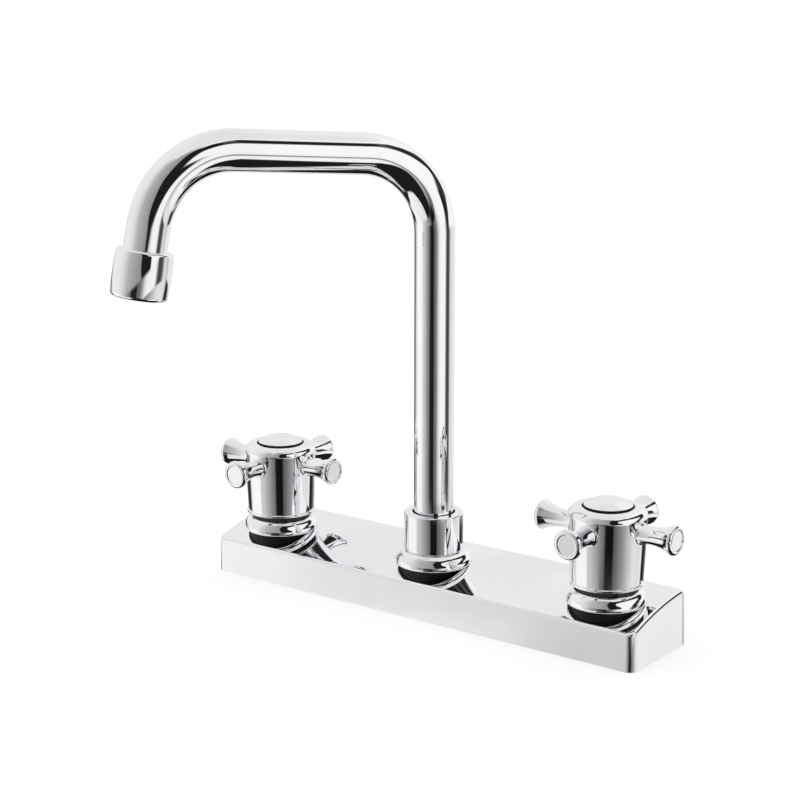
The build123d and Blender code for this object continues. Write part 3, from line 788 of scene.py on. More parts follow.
@dataclass
class DeckCover:
    """Chromed cover: arched lid with drafted sides and a softly rounded top edge, hollow below."""

    top: CoverTop = CoverTop()
    half_length: float = 129.4
    wall: float = 2.4
    draft: float = math.radians(2)
    corner_radius: float = 4.5
    edge_round: float = 1.7
    rebate_height: float = 2.0
    rebate_inset: float = 1.3
    hole_radius: float = 12.8
    hole_facets: int = 128
    corner_steps: int = 12
    long_steps: int = 60
    short_steps: int = 22
    round_steps: int = 8
    passes: int = 6
    lid_rows: int = 18
    lid_columns: int = 57
    lid_margins: tuple[float, float] = (6.0, 1.5)
    hole_margin: float = 1.2

    def stations(self) -> list[Station]:
        """Places all round the plan at the mounting surface, closer together on the corners.

        Returns:
            The places, anticlockwise from the left of the front.
        """
        half_width = (self.top.front_reach + self.top.back_reach) / 2
        middle = (self.top.back_reach - self.top.front_reach) / 2
        flat = (self.half_length - self.corner_radius, half_width - self.corner_radius)
        made: list[Station] = []
        for quarter, (sign_x, sign_y) in enumerate(((-1, -1), (1, -1), (1, 1), (-1, 1))):
            centre = Vector((sign_x * flat[0], middle + sign_y * flat[1], 0))
            for step in range(self.corner_steps + 1):
                angle = QUARTER * (2 + quarter + step / self.corner_steps)
                out = Vector((math.cos(angle), math.sin(angle), 0))
                point = centre + out * self.corner_radius
                made.append(Station(point, -out, Vector((-out.y, out.x, 0))))
            last, steps = made[-1], self.short_steps if quarter % 2 else self.long_steps
            for step in range(1, steps):
                point = last.point + last.along * 2 * flat[quarter % 2] * step / steps
                made.append(Station(point, last.inward, last.along))
        return made

    def side(self, station: Station) -> list[Corner]:
        """Follows the outside up at one station, round the top edge and onto the top.

        Args:
            station: Where on the plan.

        Returns:
            Pairs of point and normal from the foot to the start of the top.
        """
        lean, grade = math.tan(self.draft), 0.0
        inset = self.top.front_height * lean
        for _ in range(self.passes):
            y = station.inset(inset).y
            grade = self.top.slope(y) * station.inward.y
            inset = self.top.height(y) * lean
        peak = Vector((inset, self.top.height(station.inset(inset).y)))
        from_wall = Vector((math.cos(self.draft), -math.sin(self.draft)))
        from_top = Vector((grade, -1)).normalized()
        half = from_wall.angle(from_top) / 2
        centre = peak + (from_wall + from_top).normalized() * self.edge_round / math.cos(half)
        turn = -(-from_wall).angle_signed(-from_top)
        rise = self.top.slope(station.inset(inset).y) * station.along.y
        made = []
        for height in (0.0, self.rebate_height, peak.y - 3 * self.edge_round):
            made.append((station.inset(height * lean, height), -from_wall, 0.0))
        for step in range(self.round_steps + 1):
            share = step / self.round_steps
            out = turned_by(-from_wall, turn * share)
            spot = centre + out * self.edge_round
            made.append((station.inset(*spot), out, rise * share))
        corners = []
        for point, out, tilt in made:
            normal = station.inward * out.x + (Vector((0, 0, 1)) - station.along * tilt) * out.y
            corners.append((point, normal.normalized()))
        last = corners[-1][0]
        corners[-1] = (self.top.on(last), self.top.normal(last.y))
        return corners

    def holes(self) -> list[list[Corner]]:
        """Walks round the three holes on the flat.

        Returns:
            Corners of each hole, with normals towards its middle.
        """
        angles = Lathe(Matrix(), self.hole_facets).angles()
        outward = [Vector((math.cos(angle), math.sin(angle), 0)) for angle in angles]
        return [[(Vector((x, 0, 0)) + out * self.hole_radius, -out) for out in outward] for x in AXES]

    def clear(self, spot: Vector, margin: float = 0.0) -> bool:
        """Says whether a flat spot is outside all holes by more than a margin."""
        return all((spot - Vector((x, 0))).length > self.hole_radius + margin for x in AXES)

    def lid(self, skin: Skin, rim: Sequence[Corner], drop: float, sense: int) -> None:
        """Fills the top or its underside between a rim and the three holes.

        Args:
            skin: Surface to add to.
            rim: Corners round the outside.
            drop: How far below the top.
            sense: 1 for the top and -1 for the underside.
        """
        points, edges = [], []
        for loop in (rim, *self.holes()):
            first, count = len(points), len(loop)
            points += [point.xy for point, _ in loop]
            edges += [(first + n, first + (n + 1) % count) for n in range(count)]
        across = [point.y for point, _ in rim]
        low, high = min(across) + self.lid_margins[1], max(across) - self.lid_margins[1]
        reach, half = self.half_length - self.lid_margins[0], (self.lid_columns - 1) / 2
        for row in range(self.lid_rows):
            y = low + (high - low) * row / (self.lid_rows - 1)
            between = [Vector(((column - half) * reach / half, y)) for column in range(self.lid_columns)]
            points += [spot for spot in between if self.clear(spot, self.hole_margin)]
        flat, _, faces, origins, _, _ = delaunay_2d_cdt(points, edges, [], 2, 1e-5)
        spots = [points[origin[0]] if origin else Vector(spot) for spot, origin in zip(flat, origins)]
        for face in faces:
            middle = sum((spots[n] for n in face), Vector((0, 0))) / len(face)
            if self.clear(middle):
                skin.face((self.top.on(spots[n], drop), self.top.normal(spots[n].y) * sense) for n in face)

    def build(self) -> None:
        """Builds the cover as one closed shell and mounts it."""
        skin, stations = Skin(), self.stations()
        rows = [list(row) for row in zip(*(self.side(station) for station in stations))]
        for low, high in zip(rows, rows[1:]):
            skin.strip(low, high)
        self.lid(skin, rows[-1], 0.0, 1)
        down, lean = Vector((0, 0, -1)), math.tan(self.draft)
        inner_rim, inner_foot, rebate_top, rebate_foot = [], [], [], []
        for station in stations:
            inset = self.wall
            for _ in range(self.passes):
                inset = self.wall + self.top.height(station.inset(inset).y, self.wall) * lean
            foot = station.inset(self.wall + self.rebate_height * lean, self.rebate_height)
            inner_rim.append((self.top.on(station.inset(inset), self.wall), station.inward))
            inner_foot.append((foot, station.inward))
            rebate_top.append((station.inset(self.rebate_inset, self.rebate_height), station.inward))
            rebate_foot.append((station.inset(self.rebate_inset), station.inward))
        for first, second in ((inner_foot, rebate_top), (rebate_foot, rows[0])):
            skin.strip(*([(point, down) for point, _ in loop] for loop in (first, second)))
        skin.strip(inner_rim, inner_foot)
        skin.strip(rebate_top, rebate_foot)
        self.lid(skin, inner_rim, self.wall, -1)
        for hole in self.holes():
            low, high = ([(self.top.on(spot, drop), way) for spot, way in hole] for drop in (self.wall, 0.0))
            skin.strip(low, high)
        skin.dress("deck_cover", Body.TAP.value)


@dataclass
class BaseRing:
    """Bulged ring round a neck, with its foot cut to the slope of the cover."""

    word: str
    x: float
    top: CoverTop = CoverTop()
    bore: float = 12.55
    ring_top: float = 31.4
    foot_height: float = 23.4
    foot_radius: float = 16.7
    bulge_radius: float = 19.6
    crown_radius: float = 15.6
    step: float = 0.9
    edge_round: float = 1.4
    bedding: float = 0.1
    crown_steps: int = 24
    belly_steps: int = 10
    speck: float = 1e-6

    @property
    def lip(self) -> tuple[float, float]:
        """Lower outer corner of the bulge."""
        return self.bulge_radius - self.step, self.foot_height + self.step / 2

    def corners(self) -> Spots:
        """Half-section of the ring before its foot is cut.

        Returns:
            Its corners: up the bore, over the crown and down to the foot.
        """
        belly = (self.bulge_radius, self.lip[1] + self.edge_round)
        across, along = self.bulge_radius - self.crown_radius, self.ring_top - belly[1]
        turns = [QUARTER * (1 - step / self.crown_steps) for step in range(self.crown_steps + 1)]
        upper = [(self.crown_radius + across * math.cos(t), belly[1] + along * math.sin(t)) for t in turns]
        radius = (self.step**2 + self.edge_round**2) / (2 * self.step)
        lower = bulge(self.lip, belly, radius, self.belly_steps)[::-1]
        bore = ((self.bore, 0.0), (self.bore, self.ring_top, 0.25))
        foot = ((self.foot_radius, self.foot_height, 0.2), (self.foot_radius, 0.0))
        return (*bore, *upper, *lower[1:], *foot)

    def cut(self, bits: Sequence[Bit], angle: float) -> tuple[list[Bit], list[Vector]]:
        """Cuts the half-section to the cover.

        Args:
            bits: Straight bits of the half-section.
            angle: Where round the ring, in radians.

        Returns:
            The bits, where those below the cover have shrunk to a point, and the two cuts.
        """
        column, cuts = [], []
        for bit in bits:
            over = [spot.y - self.top.height(spot.x * math.sin(angle)) - self.bedding for spot, _ in bit]
            ends = list(bit)
            if (over[0] > 0) != (over[1] > 0):
                cuts.append(bit[0][0].lerp(bit[1][0], over[0] / (over[0] - over[1])))
                sunk = 0 if over[0] <= 0 else 1
                ends[sunk] = (cuts[-1], ends[sunk][1])
            column.append((ends, max(over) <= 0))
        inner, outer = sorted(cuts, key=lambda cut: cut.x)
        kept = []
        for ends, hidden in column:
            stop = inner if ends[0][0].x < (inner.x + outer.x) / 2 else outer
            kept.append([(stop, normal) for _, normal in ends] if hidden else ends)
        return kept, [inner, outer]

    def build(self) -> None:
        """Turns the ring, cuts each column of it to the cover and closes the underside."""
        lathe, below = Lathe(Matrix.Translation((self.x, 0, 0))), -self.top.normal(0)
        # The bit along the flat foot goes, because the cut to the cover closes the ring instead.
        bits = [bit for bit in Outline(self.corners()).bits() if max(p.y for p, _ in bit) > self.speck]
        skin, columns = Skin(), []
        for angle in lathe.angles():
            kept, cuts = self.cut(bits, angle)
            column = [[lathe.corner(end, angle) for end in ends] for ends in kept]
            column.append([(lathe.corner((cut, cut), angle)[0], below) for cut in cuts])
            columns.append(column)
        for column, following in zip(columns, columns[1:] + columns[:1]):
            for near, far in zip(column, following):
                skin.face((near[0], near[1], far[1], far[0]))
        # Painted shade: the undercut under the bulge and the foot get near-black, dull faces that stand in
        # for the shade under the ring.
        shaded_seam = Seam(self.x, (self.foot_radius - 0.5, self.lip[0] - 0.1), (0, self.lip[1]))
        skin.dress(f"{self.word}_base_ring", Body.TAP.value, shaded_seam)


@dataclass
class Handle:
    """Cross-head handle: bell-shaped hub, four trumpet-shaped arms and the domed cap."""

    side: Side
    bell_bottom: float = 33.7
    arm_height: float = 60.9
    lip_radius: float = 18.3
    lip_height: float = 1.4
    foot_radius: float = 17.6
    head_radius: float = 18.9
    shoulder_height: float = 66.4
    bell_top: float = 71.3
    rim_radius: float = 15.2
    cavity_radius: float = 15.9
    cavity_top: float = 54.0
    insert_radius: float = 7.0
    insert_top: float = 63.95
    screw_seat: float = 66.45
    screw_hole_radius: float = 2.6
    recess_radius: float = 5.1
    cap_radius: float = 12.2
    cap_gap: float = 0.12
    cap_floor: float = 69.1
    cap_rim: float = 0.5
    cap_crown: float = 3.9
    shoulder_steps: int = 16
    dome_steps: int = 28
    arm_count: int = 4
    arm_facets: int = 96
    flare_steps: int = 20
    arm_reach: float = 37.4
    spigot_radius: float = 2.95
    spigot_start: float = 8.65
    arm_seat: float = 17.9
    collar_radius: float = 5.4
    collar_length: float = 1.3
    waist_radius: float = 4.5
    neck_radius: float = 6.3
    flare_bow: float = 0.9
    knob_radius: float = 7.3
    knob_length: float = 4.0
    knob_round: float = 1.8
    dish_radius: float = 5.2
    dish_depth: float = 0.4

    def turned(self, part: str, corners: Spots, *shaded: tuple[float, float]) -> None:
        """Turns a part of the handle about the valve's axis and mounts it.

        Args:
            part: End of its node's name.
            corners: Its half-section.
            *bare: Radii and heights between which near-black painted shade takes the place of the plating.
        """
        x = self.side.value
        skin = Lathe(Matrix.Translation((x, 0, 0))).turn(corners)
        skin.dress(f"{self.side.word}_{part}", self.side.body, Seam(x, *shaded))

    def hub(self) -> None:
        """Turns the bell, hollow over the valve."""
        share = math.sin(QUARTER / 2)
        across, along = self.rim_radius, self.shoulder_height
        middle = (
            across + (self.head_radius - across) * share,
            along + (self.bell_top - along) * share,
        )
        start, end = (self.head_radius, along), (across, self.bell_top)
        lip_top = self.bell_bottom + self.lip_height
        corners = (
            (self.screw_hole_radius, self.screw_seat),
            (self.screw_hole_radius, self.insert_top),
            (self.insert_radius, self.insert_top),
            (self.insert_radius, self.cavity_top),
            (self.cavity_radius, self.cavity_top),
            (self.cavity_radius, self.bell_bottom, 0.3),
            (self.lip_radius, self.bell_bottom, 0.45),
            (self.lip_radius, lip_top, 0.45),
            (self.foot_radius, lip_top, 0.15),
            *arc(start, middle, end, self.shoulder_steps),
            (self.cap_radius, self.bell_top, 0.45),
            (self.cap_radius, self.cap_floor),
            (self.recess_radius, self.cap_floor),
            (self.recess_radius, self.screw_seat),
        )
        # Painted shade: the cap's seat in the hub's top gets near-black, dull faces that stand in for the
        # dark line round the cap.
        heights = (self.insert_top, self.bell_top + 1)
        self.turned("handle_hub", corners, (0, self.cap_radius + 0.5), heights)

    def cap(self) -> None:
        """Turns the domed cap."""
        radius, rim = self.cap_radius - self.cap_gap, self.bell_top + self.cap_rim
        peak = rim + self.cap_crown
        reach = (radius**2 + self.cap_crown**2) / (2 * self.cap_crown)
        half = math.asin(radius / reach) / 2
        middle = (reach * math.sin(half), peak - reach * (1 - math.cos(half)))
        dome = arc((0, peak), middle, (radius, rim), self.dome_steps)
        corners = (*dome[:-1], (radius, rim, 0.2), (radius, self.cap_floor), (0, self.cap_floor))
        # Painted shade: the cap's rim wall gets near-black, dull faces that stand in for the dark line in
        # the joint between cap and hub.
        self.turned("index_cap", corners, (radius - 0.4, radius + 1), (self.cap_floor - 1, rim + 0.3))

    def arm(self) -> Spots:
        """Half-section of one arm, along its own axis from the hub's axis.

        Returns:
            The corners.
        """
        knob_start = self.arm_reach - self.knob_length
        waist = self.arm_seat + self.collar_length
        middle = ((self.waist_radius + self.neck_radius) / 2 - self.flare_bow, (waist + knob_start) / 2)
        start, end = (self.waist_radius, waist), (self.neck_radius, knob_start)
        return (
            (0, self.spigot_start),
            (self.spigot_radius, self.spigot_start, 0.3),
            (self.spigot_radius, self.arm_seat),
            (self.collar_radius, self.arm_seat),
            (self.collar_radius, waist - self.collar_length / 3, 0.3),
            *arc(start, middle, end, self.flare_steps),
            (self.knob_radius, knob_start + self.knob_round, 0.6),
            (self.knob_radius, self.arm_reach, self.knob_round),
            (self.dish_radius, self.arm_reach, 0.25),
            (self.dish_radius - self.dish_depth, self.arm_reach - self.dish_depth, 0.3),
            (0, self.arm_reach - self.dish_depth),
        )

    def arms(self) -> None:
        """Turns one arm and sets copies of it round the hub with a node tree."""
        word = self.side.word
        lathe = Lathe(Matrix.Rotation(QUARTER, 4, "Y"), self.arm_facets)
        single = lathe.turn(self.arm()).mesh(f"{word}_single_arm")
        growth = Growth(f"{word} arms round the hub")
        count = growth.size("Arm count", self.arm_count)
        height = growth.size("Arm height", self.arm_height)
        across = growth.size("Valve distance", self.side.value)
        share = growth.number("DIVIDE", growth.give("InputIndex", {}), count)
        angle = growth.number("MULTIPLY", share, math.tau)
        turn = growth.give("ShaderNodeCombineXYZ", {"Z": angle})
        centre = growth.give("ShaderNodeCombineXYZ", {"X": across, "Z": height})
        points = growth.give("Points", {"Count": count, "Position": centre})
        inputs = {"Points": points, "Instance": growth.start, "Rotation": turn}
        copies = growth.give("InstanceOnPoints", inputs)
        arms = growth.harvest(copies, single, f"{word}_handle_arms_chrome", CHROME)
        mount(arms, self.side.body, CHROME, f"{word}_handle_arms")

    def build(self) -> None:
        """Builds the whole handle."""
        self.hub()
        self.cap()
        self.arms()


@dataclass
class Spout:
    """Swivel spout: collar nut, bent tube, ferrule, barrelled outlet housing and strainer."""

    swing: float = math.radians(30)
    tube_radius: float = 10.0
    tube_wall: float = 1.2
    tube_facets: int = 96
    tube_step: float = 1.6
    bend_radius: float = 40.0
    bend_steps: int = 60
    foot: float = 46.0
    run_height: float = 230.3
    run_rise: float = math.radians(3.5)
    run_reach: float = 102.1
    outlet_turn: float = math.radians(83.5)
    outlet_straight: float = 20.3
    ring_top: float = 31.4
    collar_radius: float = 15.0
    collar_top: float = 50.9
    collar_thread: float = 12.55
    collar_opening: float = 10.45
    lip_bottom: float = 48.05
    ferrule_radius: float = 11.0
    ferrule_length: float = 9.2
    ferrule_facets: int = 128
    braze_gap: float = 0.03
    housing_radius: float = 13.6
    housing_end_radius: float = 13.2
    housing_bore: float = 11.05
    housing_length: float = 22.6
    housing_round: float = 1.6
    housing_sink: float = 0.05
    belly_steps: int = 24
    round_steps: int = 9
    lip_radius: float = 9.9
    lip_height: float = 1.3
    washer_height: float = 1.5
    insert_radius: float = 10.95
    hole_radius: float = 0.95
    hole_facets: int = 24
    hole_pitch: float = 2.9
    hole_rings: int = 3
    holes_per_ring: int = 6
    weld: float = 0.002

    @property
    def housing_top(self) -> float:
        """Upper end of the housing, up along the outlet from the tube's end."""
        return self.ferrule_length - self.housing_sink

    def route(self) -> list[Vector]:
        """Corners of the tube's centre line, before they are rounded.

        Returns:
            Four points.
        """
        leg = self.bend_radius * math.tan(self.outlet_turn / 2)
        corner = self.run_reach + leg * math.cos(self.run_rise)
        top = self.run_height + corner * math.tan(self.run_rise)
        last = leg + self.outlet_straight
        drop = self.outlet_turn - self.run_rise
        end = (corner + last * math.cos(drop), top - last * math.sin(drop))
        out = Vector((-math.sin(self.swing), -math.cos(self.swing), 0))
        flat = ((0.0, self.foot), (0.0, self.run_height), (corner, top), end)
        return [out * reach + Vector((0, 0, height)) for reach, height in flat]

    def outlet(self) -> Matrix:
        """Placement at the end of the tube, with Z pointing back up along it.

        Returns:
            The placement.
        """
        route = self.route()
        up = (route[2] - route[3]).normalized()
        side = Vector((math.cos(self.swing), -math.sin(self.swing), 0))
        return Matrix.Translation(route[3]) @ Matrix((side, up.cross(side), up)).transposed().to_4x4()

    def tube(self) -> None:
        """Sweeps the tube's wall along its rounded route with a node tree, and closes its two ends."""
        line = bpy.data.meshes.new("tube_route")
        line.from_pydata([point * MILLIMETRE for point in self.route()], [(0, 1), (1, 2), (2, 3)], [])
        growth = Growth("tube along its route")
        bend = growth.size("Bend radius", self.bend_radius)
        radius = growth.size("Tube radius", self.tube_radius)
        wall = growth.size("Wall", self.tube_wall)
        step = growth.size("Step", self.tube_step)
        curve = growth.give("MeshToCurve", {"Mesh": growth.start})
        inputs = {"Curve": curve, "Radius": bend, "Count": self.bend_steps}
        rounded = growth.give("FilletCurve", inputs, mode="POLY")
        even = growth.give("ResampleCurve", {"Curve": rounded, "Length": step}, mode="LENGTH")
        walls = []
        for source in (radius, growth.number("SUBTRACT", radius, wall)):
            circle = {"Resolution": self.tube_facets, "Radius": source}
            profile = growth.give("CurvePrimitiveCircle", circle)
            walls.append(growth.give("CurveToMesh", {"Curve": even, "Profile Curve": profile}))
        walls[1] = growth.give("FlipFaces", {"Mesh": walls[1]})
        both = growth.give("JoinGeometry", {"Geometry": walls})
        piece = growth.harvest(both, line, "spout_tube_chrome", CHROME)
        shell = bmesh.new()
        shell.from_mesh(piece.data)
        for at_foot in (True, False):
            open_edges = [edge for edge in shell.edges if edge.is_boundary]
            near = self.bend_radius * MILLIMETRE
            ends = [edge for edge in open_edges if (edge.verts[0].co.xy.length < near) == at_foot]
            bmesh.ops.bridge_loops(shell, edges=ends)
        bmesh.ops.recalc_face_normals(shell, faces=shell.faces)
        shell.to_mesh(piece.data)
        shell.free()
        mount(polish(piece), Body.SPOUT.value, CHROME, "spout_tube")

    def collar(self) -> None:
        """Turns the plain round nut at the spout's foot."""
        corners = (
            (self.collar_thread, self.ring_top, 0.3),
            (self.collar_radius, self.ring_top, 0.5),
            (self.collar_radius, self.collar_top, 0.7),
            (self.collar_opening, self.collar_top, 0.6),
            (self.collar_opening, self.lip_bottom),
            (self.collar_thread, self.lip_bottom),
        )
        # Painted shade: the collar's inner edge and opening get near-black, dull faces that stand in for the
        # dark line where the tube enters.
        shaded_seam = Seam(0.0, (0, self.collar_opening + 0.5), (self.ring_top, self.collar_top + 1))
        Lathe(Matrix()).turn(corners).dress("spout_collar_nut", Body.TAP.value, shaded_seam)

    def ferrule(self) -> None:
        """Turns the threaded ferrule on the tube's end."""
        bore = self.tube_radius + self.braze_gap
        corners = (
            (bore, 0),
            (self.ferrule_radius, 0, 0.15),
            (self.ferrule_radius, self.ferrule_length, 0.3),
            (bore, self.ferrule_length, 0.2),
        )
        skin = Lathe(self.outlet(), self.ferrule_facets).turn(corners)
        skin.dress("outlet_ferrule", Body.SPOUT.value)

    def housing(self) -> None:
        """Turns the barrelled housing with the lip at its mouth."""
        top, bottom = self.housing_top, self.housing_top - self.housing_length
        end, edge = self.housing_end_radius, self.housing_end_radius - self.housing_round
        low, high = (end, bottom + self.housing_round), (end, top - self.housing_round)
        corners = (
            (self.housing_bore, top, 0.12),
            (self.housing_bore, bottom + self.lip_height),
            (self.lip_radius, bottom + self.lip_height),
            (self.lip_radius, bottom, 0.25),
            *bulge((edge, bottom), low, self.housing_round, self.round_steps)[:-1],
            *arc(low, (self.housing_radius, (top + bottom) / 2), high, self.belly_steps),
            *bulge(high, (edge, top), self.housing_round, self.round_steps)[1:],
        )
        Lathe(self.outlet()).turn(corners).dress("aerator_housing", Body.SPOUT.value)

    def strainer(self) -> None:
        """Fills a disc between its edge and rings of holes with a node tree, and gives it its thickness."""
        lip = self.housing_top - self.housing_length + self.lip_height
        growth = Growth("strainer with rings of holes")
        edge = growth.size("Edge radius", self.insert_radius)
        hole = growth.size("Hole radius", self.hole_radius)
        pitch = growth.size("Hole pitch", self.hole_pitch)
        depth = growth.size("Thickness", -self.washer_height - lip)
        spots = [growth.give("Points", {"Count": 1})]
        for ring in range(1, self.hole_rings + 1):
            reach = growth.number("MULTIPLY", pitch, float(ring))
            inputs = {"Vertices": self.holes_per_ring * ring, "Radius": reach}
            spots.append(growth.give("MeshToPoints", {"Mesh": growth.give("MeshCircle", inputs)}))
        places = growth.give("JoinGeometry", {"Geometry": spots})
        bore = growth.give("CurvePrimitiveCircle", {"Resolution": self.hole_facets, "Radius": hole})
        bores = growth.give("InstanceOnPoints", {"Points": places, "Instance": bore})
        loose = growth.give("RealizeInstances", {"Geometry": bores})
        rim = growth.give("CurvePrimitiveCircle", {"Resolution": self.tube_facets, "Radius": edge})
        curves = growth.give("JoinGeometry", {"Geometry": [rim, loose]})
        disc = growth.give("FillCurve", {"Curve": curves})
        raised = growth.give("ExtrudeMesh", {"Mesh": disc, "Offset Scale": depth, "Individual": False})
        base = growth.give("FlipFaces", {"Mesh": disc})
        both = growth.give("JoinGeometry", {"Geometry": [raised, base]})
        merged = growth.give("MergeByDistance", {"Geometry": both, "Distance": self.weld * MILLIMETRE})
        start = bpy.data.meshes.new("strainer_start")
        piece = growth.harvest(merged, start, "aerator_strainer", PLASTIC)
        placement = self.outlet()
        placement.translation *= MILLIMETRE
        piece.data.transform(placement @ Matrix.Translation((0, 0, lip * MILLIMETRE)))
        mount(polish(piece), Body.SPOUT.value, PLASTIC, "aerator_insert")

    def build(self) -> None:
        """Builds the whole spout."""
        self.collar()
        self.tube()
        self.ferrule()
        self.housing()
        self.strainer()


@dataclass
class InnerWorks:
    """Nodes of the frame that keep their own shape and get a finish: valves, seals, spindles, fixings."""

    frame: dict[str, object]

    def build(self) -> None:
        """Puts each shown node's finish in its material slots."""
        for entry in self.frame["record"]["subparts"]:
            node = self.frame["nodes"][entry["node"]]
            if node.hide_render:
                continue
            finish = FINISHES[entry["material_slot"]]
            for slot in node.material_slots:
                slot.material = finish.material()
            LOG.info("%s: kept, finished as %s", node.name, finish.slot)


# Studio


@dataclass(frozen=True)
class Belt:
    """Grey tones all round the surround, below the heights between which those above give way to them."""

    low: float
    high: float
    tones: Tones


@dataclass(frozen=True)
class Card:
    """Dark card in the surround: a soft-edged band between two directions (bearing, height)."""

    start: tuple[float, float]
    end: tuple[float, float]
    half_width: float
    density: float = 1.0


class Surround(Wiring):
    """Tones of the world by direction, in degrees: the bearing from the camera's, and the height."""

    dark: tuple[float, ...] = (0.012, 0.012, 0.013, 1)
    softness: float = 1.5

    def __init__(self, tree: bpy.types.NodeTree, bearing: float) -> None:
        """Finds the bearing and the height of each direction.

        Args:
            tree: The world's tree.
            bearing: The camera's bearing, in radians from X.
        """
        super().__init__(tree)
        near = (math.cos(bearing), math.sin(bearing), 0)
        right = (-near[1], near[0], 0)
        way = self.node("TexCoord", {}).outputs["Generated"]
        ahead, aside = (self.dot(way, axis) for axis in (near, right))
        turn = self.number("ARCTAN2", aside, ahead)
        steep = self.number("ARCSINE", self.node("SeparateXYZ", {"Vector": way}).outputs["Z"])
        self.around = self.spread(turn, (-math.pi, math.pi))
        self.height = self.spread(steep, (-QUARTER, QUARTER))
        angles = {"X": self.number("DEGREES", turn), "Y": self.number("DEGREES", steep)}
        self.spot = self.give("CombineXYZ", angles)

    def dot(self, first: object, second: object) -> Socket:
        """Gives the dot product of two vectors."""
        return self.node("VectorMath", {0: first, 1: second}, operation="DOT_PRODUCT").outputs["Value"]

    def bearings(self, stops: Tones) -> Socket:
        """Grey tones round the horizon, from bearings in degrees."""
        return self.ramp(self.around, [(place / 360 + 0.5, (tone,) * 3) for place, tone in stops])

    def rise(self, low: float, high: float) -> Socket:
        """Goes from 0 to 1 between two heights in degrees."""
        return self.ramp(self.height, [(low / 180 + 0.5, (0,) * 3), (high / 180 + 0.5, (1,) * 3)])

    def blend(self, share: Socket, first: object, second: object) -> Socket:
        """Goes from the first tone to the second with the share."""
        return self.node("Mix", {0: share, 6: first, 7: second}, data_type="RGBA").outputs[2]

    def hang(self, card: Card, light: Socket) -> Socket:
        """Hangs a card in front of the tones so far.

        Args:
            card: The card.
            light: The tones so far.

        Returns:
            The new tones.
        """
        start = Vector((*card.start, 0))
        way = Vector((*card.end, 0)) - start
        off = self.give("VectorMath", {0: self.spot, 1: start}, operation="SUBTRACT")
        part = self.give("Clamp", {"Value": self.dot(off, way / way.length_squared)})
        close = self.give("VectorMath", {0: part, 1: way, 2: start}, operation="MULTIPLY_ADD")
        gap = self.node("VectorMath", {0: self.spot, 1: close}, operation="DISTANCE").outputs["Value"]
        rim = (card.half_width - self.softness, card.half_width + self.softness)
        return self.blend(self.spread(gap, rim, (card.density, 0.0)), light, self.dark)

    def lift(self, floor: Tones, light: Socket) -> Socket:
        """Puts the dark ground under the tones so far.

        Args:
            floor: Heights up to which it is dark, by bearing.
            light: The tones so far.

        Returns:
            The new tones.
        """
        edge = self.bearings([(bearing, height / 180 + 0.5) for bearing, height in floor])
        over = self.number("SUBTRACT", self.height, edge)
        lit = self.spread(over, (-self.softness / 180, self.softness / 180))
        return self.blend(lit, self.dark, light)


